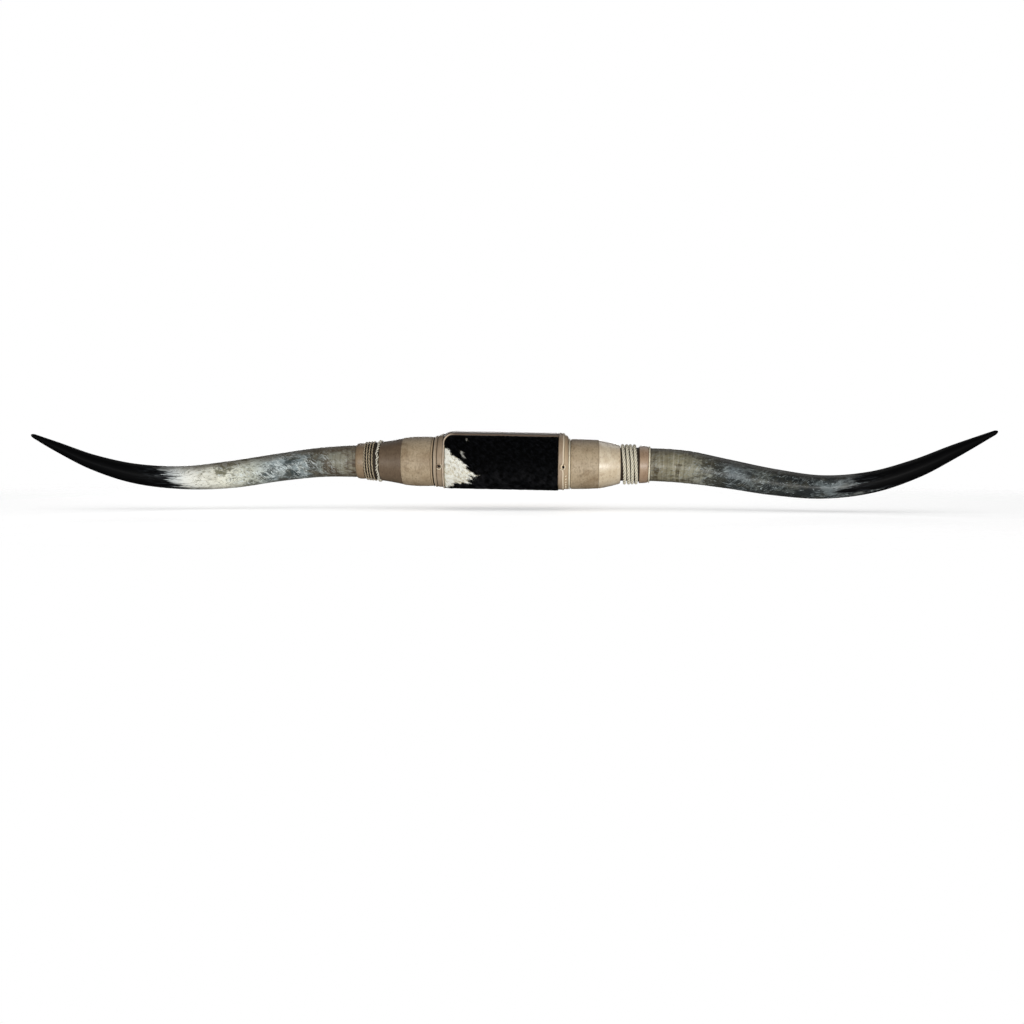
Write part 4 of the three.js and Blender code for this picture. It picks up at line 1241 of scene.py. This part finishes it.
def coat_mesh(name, x, arc, white, length, width, seed):
    """Coat of solid tapering locks that follow the lie of the hair.

    A lock has a three-sided root, a three-sided middle and a tip: seven points and seven faces.
    """
    rng = np.random.default_rng(seed)
    n = len(x)
    clump = waver(seed + 3, 0.42, 0.42)
    heading = np.radians(-58 + 26 * smooth_step(-105, -40, x) + 8 * waver(seed, 0.06, 0.06)(x, arc)
                         + 16 * clump(x, arc) + rng.normal(0, 6, n))
    size = length / MM * rng.uniform(0.7, 1.2, n)
    size = np.minimum(size, np.maximum((HIDE_RIGHT - 0.2 - x) / np.maximum(np.cos(heading), 0.2), 1.2))
    size = np.minimum(size, np.maximum((arc - ARC_UNDER + 1.5) / np.maximum(-np.sin(heading), 0.2), 1.2))
    breadth = width / MM * rng.uniform(0.6, 1.25, n)
    tuft = waver(seed + 9, 0.5, 0.5)(x, arc)
    rise = np.clip(rng.uniform(0.2, 1.1, n) + 0.45 * tuft, 0.1, 1.6)
    rise *= 0.3 + 0.7 * smooth_step(math.radians(-92), math.radians(-62), angle_at(arc))
    curl = rng.normal(0, 0.14, n)
    rings = []
    for share, wide, lift, thick in ((0.0, 0.7, -0.35, 0.3), (0.42, 1.0, 0.7, 0.42)):
        turn = heading + curl * share
        cx, cs = x + size * share * np.cos(turn), arc + size * share * np.sin(turn)
        ox, oy = -np.sin(turn) * breadth * wide / 2, np.cos(turn) * breadth * wide / 2
        base = SKIN_LIFT[1] + lift * rise
        for sx, sy, up in ((ox, oy, 0), (-ox, -oy, 0), (0, 0, thick)):
            rings.append(block_point(cx + sx, angle_at(cs + sy), base + up))
    turn = heading + curl
    tip = block_point(x + size * np.cos(turn), angle_at(arc + size * np.sin(turn)),
                      SKIN_LIFT[1] + 0.55 * rise)
    points = np.stack(rings + [tip], 1).reshape(-1, 3)
    start = np.arange(n)[:, None] * 7
    quads = np.concatenate([start + np.array(q) for q in ((0, 1, 4, 3), (1, 2, 5, 4), (2, 0, 3, 5))])
    ends = np.concatenate([start + np.array(t) for t in ((3, 4, 6), (4, 5, 6), (5, 3, 6), (0, 2, 1))])
    faces = list(quads) + list(ends)
    # Tone of each lock: random, with painted shade in the cream coat where its tuft lies low.
    shade = np.repeat(np.clip(rng.beta(1.5, 3.2, n) - 0.28 * tuft + 0.12, 0, 1), 7)
    values = {"white": np.repeat(white, 7), "shade": shade,
              "tip": np.tile([0, 0, 0, 0.45, 0.45, 0.45, 1.0], n)}
    mesh = make_mesh(name, points, faces, values)
    outward_normals(mesh)
    u, v = unwrap(x, arc)
    patch = 0.0013 * np.array([(-1, -1), (1, -1), (0, -0.6), (-0.7, 0.2), (0.7, 0.2), (0, 0.4), (0, 1)])
    place = np.stack([u, v], -1)[:, None, :] * 0.996 + 0.002 + patch[None]
    corner = np.zeros(len(mesh.loops), int)
    mesh.loops.foreach_get("vertex_index", corner)
    layer = mesh.uv_layers.new(name="OFBake")
    layer.data.foreach_set("uv", place.reshape(-1, 2)[corner].ravel())
    return mesh


def helix(arm, winding, seed, wander):
    """Path of a cord wound round an arm, both ends at the back."""
    t = np.linspace(0, 1, winding["turns"] * 150)
    x = winding["start"] - winding["pitch"] / 2 + winding["turns"] * winding["pitch"] * t
    radius = winding["radius"] + (winding["last"] - winding["radius"]) * t
    angle = math.pi + 2 * math.pi * winding["turns"] * t * winding["hand"]
    ends = smooth_step(0, 0.03, np.minimum(t, 1 - t))
    off = waver(seed, 0.9, 0)
    x = x + wander * off(angle * 2.6, 0) * ends
    radius = radius + 0.35 * wander * off(angle * 2 + 30, 0) * ends - 0.9 * (1 - ends)
    return arm_point(arm, x, radius, angle)


def ring_path(arm, ring, seed=0, wander=0.0, waves=9):
    """Closed path of a cord round an arm."""
    angle = full_turn(360)
    rng = np.random.default_rng(seed)
    off = sum(np.sin(k * angle + rng.uniform(0, 6)) for k in (waves, waves + 4, waves - 4)) / 2
    return arm_point(arm, ring["at"] + wander * off, ring["radius"] + wander * 0.2 * np.roll(off, 20), angle)


def hide_cord_path():
    """Path of the cord that edges the hide: up its left side, round the corner, along its top."""
    top = math.radians(HIDE_CORD["top_deg"])
    rise = HIDE_CORNER / (BLOCK_HALF_HEIGHT + 4)
    side = np.linspace(math.radians(HIDE_UNDER_DEG), top - rise, 150)
    turn = np.linspace(0, math.pi / 2, 24)[1:]
    along_top = np.linspace(HIDE_CORD["at"] + HIDE_CORNER, HIDE_RIGHT - 0.4, 120)[1:]
    x = np.concatenate([np.full_like(side, HIDE_CORD["at"]),
                        HIDE_CORD["at"] + HIDE_CORNER * (1 - np.cos(turn)), along_top])
    angle = np.concatenate([side, top - rise * (1 - np.sin(turn)), np.full_like(along_top, top)])
    return block_point(x, angle, HIDE_CORD["lift"])


def seam_path(arm, profile):
    """Line over the seam along the back of a sleeve, with its outward direction."""
    rows = np.array(profile, float)
    x = np.linspace(rows[:, 0].min() + 5, rows[:, 0].max() - 5, 40)
    radius = np.interp(x, rows[:, 0], rows[:, 1]) + 0.15
    return arm_point(arm, x, radius, math.pi), -arm_frame(arm, x)[2]


def tack_path(head):
    """Closed path of the tacks round the back board, for heads of a height in millimetres."""
    half_x, half_z, corner = BOARD["length"] / 2 + 4.5, BOARD["height"] / 2 + 4.2, 3.0
    outline = []
    for quarter, (sx, sz) in enumerate(((1, 1), (-1, 1), (-1, -1), (1, -1))):
        for turn in np.linspace(0, math.pi / 2, 6) + quarter * math.pi / 2:
            outline.append((sx * (half_x - corner) + corner * math.cos(turn), 0,
                            sz * (half_z - corner) + corner * math.sin(turn)))
    path = lean(np.array(outline))
    path = np.concatenate([np.linspace(a, b, 12, endpoint=False) for a, b in zip(path, np.roll(path, -1, 0))])
    path[:, 1] = [min(leather_behind(x, z) + 0.45 * head, -0.55 * head) for x, _, z in path]
    return path


# Operators

def settings():
    return bpy.context.scene.horn_mount


class MOUNT_OT_horns(bpy.types.Operator):
    """Make the two polished horns"""

    bl_idname = "mount.horns"
    bl_label = "Horns"

    def execute(self, context):
        depth = settings().ring_depth
        for side, arm, girth, marks, look, seed in (
                ("left", ARM_LEFT, HORN_LEFT_GIRTH, MARKS_LEFT, HORN_LEFT_LOOK, 5),
                ("right", ARM_RIGHT, HORN_RIGHT_GIRTH, MARKS_RIGHT, HORN_RIGHT_LOOK, 11)):
            mesh = horn_mesh(f"polished_horn_{side}", arm, girth, marks, seed, depth)
            place_piece(mesh, horn_finish(f"Polished horn, {side}", look), "horn", f"horn_{side}")
        return {"FINISHED"}


class MOUNT_OT_sleeves(bpy.types.Operator):
    """Make the leather sleeves and collars of both arms"""

    bl_idname = "mount.sleeves"
    bl_label = "Sleeves and collars"

    def execute(self, context):
        s = settings()
        sleeve = leather_finish("Tan leather", s.tan, (152, 129, 100), (100, 79, 60), (204, 184, 152),
                                0.5, 0.0, 0.75)
        collar = leather_finish("Collar leather", (164, 142, 114), (138, 116, 92), (92, 74, 58),
                                (120, 98, 76), 0.42, 0.15)
        dark = leather_finish("Taupe leather", s.taupe, (108, 90, 72), (74, 58, 46), (104, 86, 70),
                              0.48, 0.06, 0.6)
        pale = leather_finish("Rawhide", s.rawhide, (216, 192, 156), (160, 128, 94), (214, 196, 164),
                              0.32, 0.8, 0.6, 0.8)
        ruddy = leather_finish("Ruddy collar leather", (190, 164, 138), (160, 130, 104), (118, 90, 70),
                               (150, 124, 98), 0.36, 0.25)
        wrinkles = waver(77, 0.9, 5)
        for name, node, profile, seed, finish, slot, dents in (
                ("tan_sleeve", "sleeve_inner_left", SLEEVE_INNER_LEFT, 3, sleeve, "tan_leather", None),
                ("taupe_sleeve", "sleeve_outer_left", SLEEVE_OUTER_LEFT, 7, dark, "taupe_leather", wrinkles),
                ("collar_leather", "collar_left", COLLAR_LEFT, 9, collar, "tan_leather", wrinkles),
                ("tan_sleeve", "sleeve_inner_right", SLEEVE_INNER_RIGHT, 15, sleeve, "tan_leather", None),
                ("rawhide_sleeve", "sleeve_outer_right", SLEEVE_OUTER_RIGHT, 19, pale, "rawhide", None),
                ("collar_leather", "collar_right", COLLAR_RIGHT, 23, ruddy, "tan_leather", wrinkles)):
            side = node.split("_")[-1]
            arm = ARM_LEFT if side == "left" else ARM_RIGHT
            mesh = sleeve_mesh(f"{name}_{side}", arm, profile, seed, dents, UNDER_CORDS.get(node, ()))
            place_piece(mesh, finish, slot, node)
        return {"FINISHED"}


class MOUNT_OT_block(bpy.types.Operator):
    """Make the leather-covered block and its two end bands"""

    bl_idname = "mount.block"
    bl_label = "Block and bands"

    def execute(self, context):
        strip = leather_finish("Block leather", (150, 132, 116), (124, 106, 90), (88, 72, 60),
                               (110, 92, 76), 0.48, 0.05)
        place_piece(body_mesh("block_leather", 41), strip, "tan_leather", "block_body")
        left = band_finish("Left band leather", (178, 158, 134), -0.1237, 0.0011, 0.35)
        right = band_finish("Right band leather", (176, 154, 130), 0.1203, 0.0013, 1.0)
        for side, profile, nail, ridge, seed, finish in (
                ("left", BAND_LEFT, NAIL_LEFT, 0.0, 51, left),
                ("right", BAND_RIGHT, NAIL_RIGHT, -3.9, 57, right)):
            mesh = band_mesh(f"band_leather_{side}", profile, nail, ridge, seed)
            place_piece(mesh, finish, "tan_leather", f"band_{side}")
        return {"FINISHED"}


class MOUNT_OT_hide(bpy.types.Operator):
    """Make the cowhide panel, its coat and the cord that edges it"""

    bl_idname = "mount.hide"
    bl_label = "Cowhide"

    def execute(self, context):
        s = settings()
        place_piece(skin_mesh("cowhide_skin"), skin_finish("Cowhide skin"), "cowhide", "hide_panel")
        coat = coat_finish("Cowhide coat")
        # Locks are scattered over the whole hide and kept on their own part of it, so the number asked
        # for the white part is divided by that part's share.
        share = 1.0
        for name, locks, pale, longer, wider, seed in (
                ("dark", s.dark_locks, False, 1.0, 1.15, 61), ("white", s.white_locks, True, 1.35, 1.7, 65)):
            x, arc = scatter(int(locks / share), seed)
            white = whiteness(x, arc)
            kept = (white >= PALE_FROM) == pale
            mesh = coat_mesh(f"cowhide_coat_{name}", x[kept], arc[kept], white[kept],
                             s.lock_length * longer, s.lock_width * wider, seed + 2)
            place_piece(mesh, coat, "cowhide")
            share = max(float((~kept).mean()), 0.01)
        edging = edge_cord_finish("Edging cord", (228, 208, 184), (112, 94, 78))
        twisted(hide_cord_path(), "hide_edging_cord", edging, "cord", "hide_cord", HIDE_CORD["cord"], 1,
                s.twist, step=0.0012, sides=12)
        return {"FINISHED"}


class MOUNT_OT_cords(bpy.types.Operator):
    """Wind the lashings, the lace and the piping"""

    bl_idname = "mount.cords"
    bl_label = "Cords and piping"

    def execute(self, context):
        s = settings()
        cord_tree()
        # The fourth colour of each cord is its painted shade between strands.
        cream = cord_finish("Cream cord", s.cream, (246, 234, 204), (84, 70, 48), 5.0)
        thong = cord_finish("Tan thong", (255, 242, 214), (220, 198, 160), (90, 68, 48), 4.0, 0.6)
        lace = cord_finish("White lace", (255, 255, 248), (250, 240, 214), (104, 88, 62), 5.0)
        piping = edge_cord_finish("Cream piping", (255, 246, 220), (255, 246, 220), 0.5)
        twisted(helix(ARM_LEFT, LASHING_LEFT, 71, 0.35), "wound_thong_left", thong, "thong",
                "lashing_left", LASHING_LEFT["cord"], 2, s.twist * 0.9, sides=8)
        twisted(helix(ARM_RIGHT, LASHING_RIGHT, 73, 0.5), "wound_cord_right", cream, "cord",
                "lashing_right", LASHING_RIGHT["cord"], 3, s.twist * 1.5)
        twisted(ring_path(ARM_LEFT, LACE_LEFT, 75, 1.0, 12), "lace_cord_left", lace, "cord",
                "lace_left", LACE_LEFT["cord"], 2, s.twist * 0.85, True)
        for ring, name, node in ((PIPING_RIGHT, "piping_cord_right", "piping_right"),
                                 (COLLAR_PIPING_RIGHT, "collar_piping_cord_right", "collar_piping_right")):
            twisted(ring_path(ARM_RIGHT, ring), name, piping, "cord", node, ring["cord"], 1, s.twist,
                    True, 0.002, 12)
        return {"FINISHED"}


class MOUNT_OT_seams(bpy.types.Operator):
    """Sew the sleeves' back seams and the right band's stitches, and set the tacks round the back board"""

    bl_idname = "mount.seams"
    bl_label = "Stitches and tacks"

    def execute(self, context):
        s = settings()
        # The fourth colour of each thread is its painted shade between strands.
        thread = cord_finish("Waxed thread", (196, 176, 140), (140, 118, 88), (90, 72, 50), 4.0, 0.55)
        stitch = row_tree("Stitch row", 8, 6)
        for side, arm, profiles in (("left", ARM_LEFT, (SLEEVE_INNER_LEFT, SLEEVE_OUTER_LEFT)),
                                    ("right", ARM_RIGHT, (SLEEVE_INNER_RIGHT, SLEEVE_OUTER_RIGHT))):
            for number, profile in enumerate(profiles):
                points, out = seam_path(arm, profile)
                grow(points, stitch, f"seam_stitches_{side}_{number + 1}", thread, "thong", out=out,
                     Spacing=s.stitch_spacing, Length=0.0015, Width=0.0078, Height=0.0011, Slant=0.42)
        pale = cord_finish("Pale thread", (255, 246, 222), (226, 206, 170), (96, 78, 54), 4.0, 0.6, 0.0)
        row = BAND_STITCHES
        angle = np.radians(np.linspace(row["from"], row["to"], 30))
        points = block_point(row["at"], angle, row["lift"])
        grow(points, stitch, "band_stitches_right", pale, "cord",
             out=unit(block_point(row["at"], angle, row["lift"] + 2.2) - points),
             Spacing=0.0064, Length=0.0043, Width=0.0022, Height=0.0018, Slant=-0.45)
        brass = metal_finish("Tack metal", (150, 118, 68), (84, 62, 38), 0.9, 0.34)
        points = tack_path(TACK_HEAD["height"])
        width = TACK_HEAD["width"] * MM
        grow(points, row_tree("Tack row", 12, 8), "board_tacks", brass, "nail", closed=True,
             out=np.tile([0.0, 1.0, 0.0], (len(points), 1)), Spacing=s.tack_spacing, Length=width,
             Width=width, Height=TACK_HEAD["height"] * MM, Slant=0.0)
        return {"FINISHED"}


class MOUNT_OT_back(bpy.types.Operator):
    """Finish the back board, the hanger and the nails"""

    bl_idname = "mount.back"
    bl_label = "Back board and metal"

    def execute(self, context):
        steel = metal_finish("Hanger steel", (176, 178, 180), (120, 116, 110), 0.95, 0.32)
        iron = metal_finish("Nail iron", (30, 26, 24), (16, 12, 10), 0.8, 0.5)
        for finish, nodes in ((wood_finish("Board wood"), ["back_board"]),
                              (steel, ["hanger_strip", "hanger_pin_left", "hanger_pin_right"]),
                              (iron, ["nail_left", "nail_right"])):
            for name in nodes:
                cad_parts[name].material_slots[0].material = finish
        return {"FINISHED"}


def soft_light(name, place, target, size, watts, tint=(1.0, 1.0, 1.0)):
    """Rectangular soft light aimed at a place."""
    data = bpy.data.lights.new(name, "AREA")
    data.shape = "RECTANGLE"
    data.size, data.size_y = size
    data.energy = watts
    data.color = tint
    lamp = linked(name, data)
    lamp.location = place
    across, inward, up = np.array(target) - np.array(place)
    lamp.rotation_euler = (math.atan2(math.hypot(across, inward), -up), 0, math.atan2(-across, inward))
    return lamp


class MOUNT_OT_studio(bpy.types.Operator):
    """Set up the pale floor, the soft lights and the camera"""

    bl_idname = "mount.studio"
    bl_label = "Studio"

    def execute(self, context):
        s = context.scene.horn_studio
        camera = linked("camera", bpy.data.cameras.new("camera"))
        camera.data.lens = s.lens
        camera.data.sensor_width = 36
        camera.data.clip_end = 60
        camera.location = s.camera_place
        camera.rotation_euler = (math.pi / 2 - s.camera_elevation, 0, s.camera_azimuth)
        context.scene.camera = camera
        context.scene.view_settings.view_transform = "Standard"
        floor = self.make_floor(s.floor_height)
        soft_light("key", (0.7, -2.8, -0.42), (0, 0, 0), (1.4, 0.5), s.key_power, (1.0, 0.985, 0.96))
        soft_light("fill", (-1.2, -2.8, -0.3), (-0.1, 0, 0), (1.4, 0.5), s.fill_power, (0.97, 0.985, 1.0))
        soft_light("top", (0.2, 1.4, 2.0), (0, 0, 0), (2.4, 1.2), s.top_power)
        soft_light("back", (-0.6, 3.0, 0.3), (0, 0, 0), (2.4, 1.2), s.back_power)
        over_floor = soft_light("floor_light", (0, -1.2, 1.5), (0, 0, -0.1), (4.4, 4.2), s.floor_power)
        lit = bpy.data.collections.new("lit_by_floor_light")
        lit.objects.link(floor)
        over_floor.light_linking.receiver_collection = lit
        self.light_world(s.ambient)
        return {"FINISHED"}

    def make_floor(self, height):
        """Round pale floor that fades out at its edge."""
        radius, sides = 2.4, 96
        angle = full_turn(sides)
        ring = np.stack([radius * np.cos(angle), radius * np.sin(angle), np.full(sides, height)], -1)
        mesh = bpy.data.meshes.new("floor")
        mesh.from_pydata(ring.tolist(), [], [list(range(sides))])
        floor = linked("floor", mesh)
        mesh.materials.append(floor_finish("Studio floor", radius))
        floor.visible_diffuse = False
        floor.visible_glossy = False
        floor.visible_shadow = False
        return floor

    def light_world(self, ambient):
        """White behind the object, and a dimmer even light on it."""
        world = bpy.data.worlds.new("Studio")
        bpy.context.scene.world = world
        world.use_nodes = True
        tree = world.node_tree
        tree.nodes.clear()
        maker = Maker(tree)
        white = (255, 255, 255)
        lit = maker.add("ShaderNodeBackground", None, {"Color": white, "Strength": ambient})
        seen = maker.add("ShaderNodeBackground", None, {"Color": white})
        camera_ray = maker.add("ShaderNodeLightPath", output="Is Camera Ray")
        both = maker.add("ShaderNodeMixShader", None, {0: camera_ray, 1: lit, 2: seen})
        tree.links.new(both.socket, tree.nodes.new("ShaderNodeOutputWorld").inputs[0])


class MOUNT_PT_panel(bpy.types.Panel):
    """Lists the settings and the makers of the horn mount."""

    bl_idname = "MOUNT_PT_panel"
    bl_label = "Horn mount"
    bl_space_type = "VIEW_3D"
    bl_region_type = "UI"
    bl_category = "Horn mount"

    def draw(self, context):
        for group in (context.scene.horn_mount, context.scene.horn_studio):
            column = self.layout.column()
            for name in group.__annotations__:
                column.prop(group, name)
        for maker in MAKERS:
            self.layout.operator(maker.bl_idname)


MAKERS = (MOUNT_OT_horns, MOUNT_OT_sleeves, MOUNT_OT_block, MOUNT_OT_cords, MOUNT_OT_hide,
          MOUNT_OT_seams, MOUNT_OT_back, MOUNT_OT_studio)


def register():
    for item in (MountSettings, StudioSettings, *MAKERS, MOUNT_PT_panel):
        bpy.utils.register_class(item)
    bpy.types.Scene.horn_mount = PointerProperty(type=MountSettings)
    bpy.types.Scene.horn_studio = PointerProperty(type=StudioSettings)


def unregister():
    del bpy.types.Scene.horn_studio
    del bpy.types.Scene.horn_mount
    for item in reversed((MountSettings, StudioSettings, *MAKERS, MOUNT_PT_panel)):
        bpy.utils.unregister_class(item)


def main():
    register()
    for maker in MAKERS:
        group, name = maker.bl_idname.split(".")
        getattr(getattr(bpy.ops, group), name)()
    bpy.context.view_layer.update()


if __name__ == "__main__":
    main()
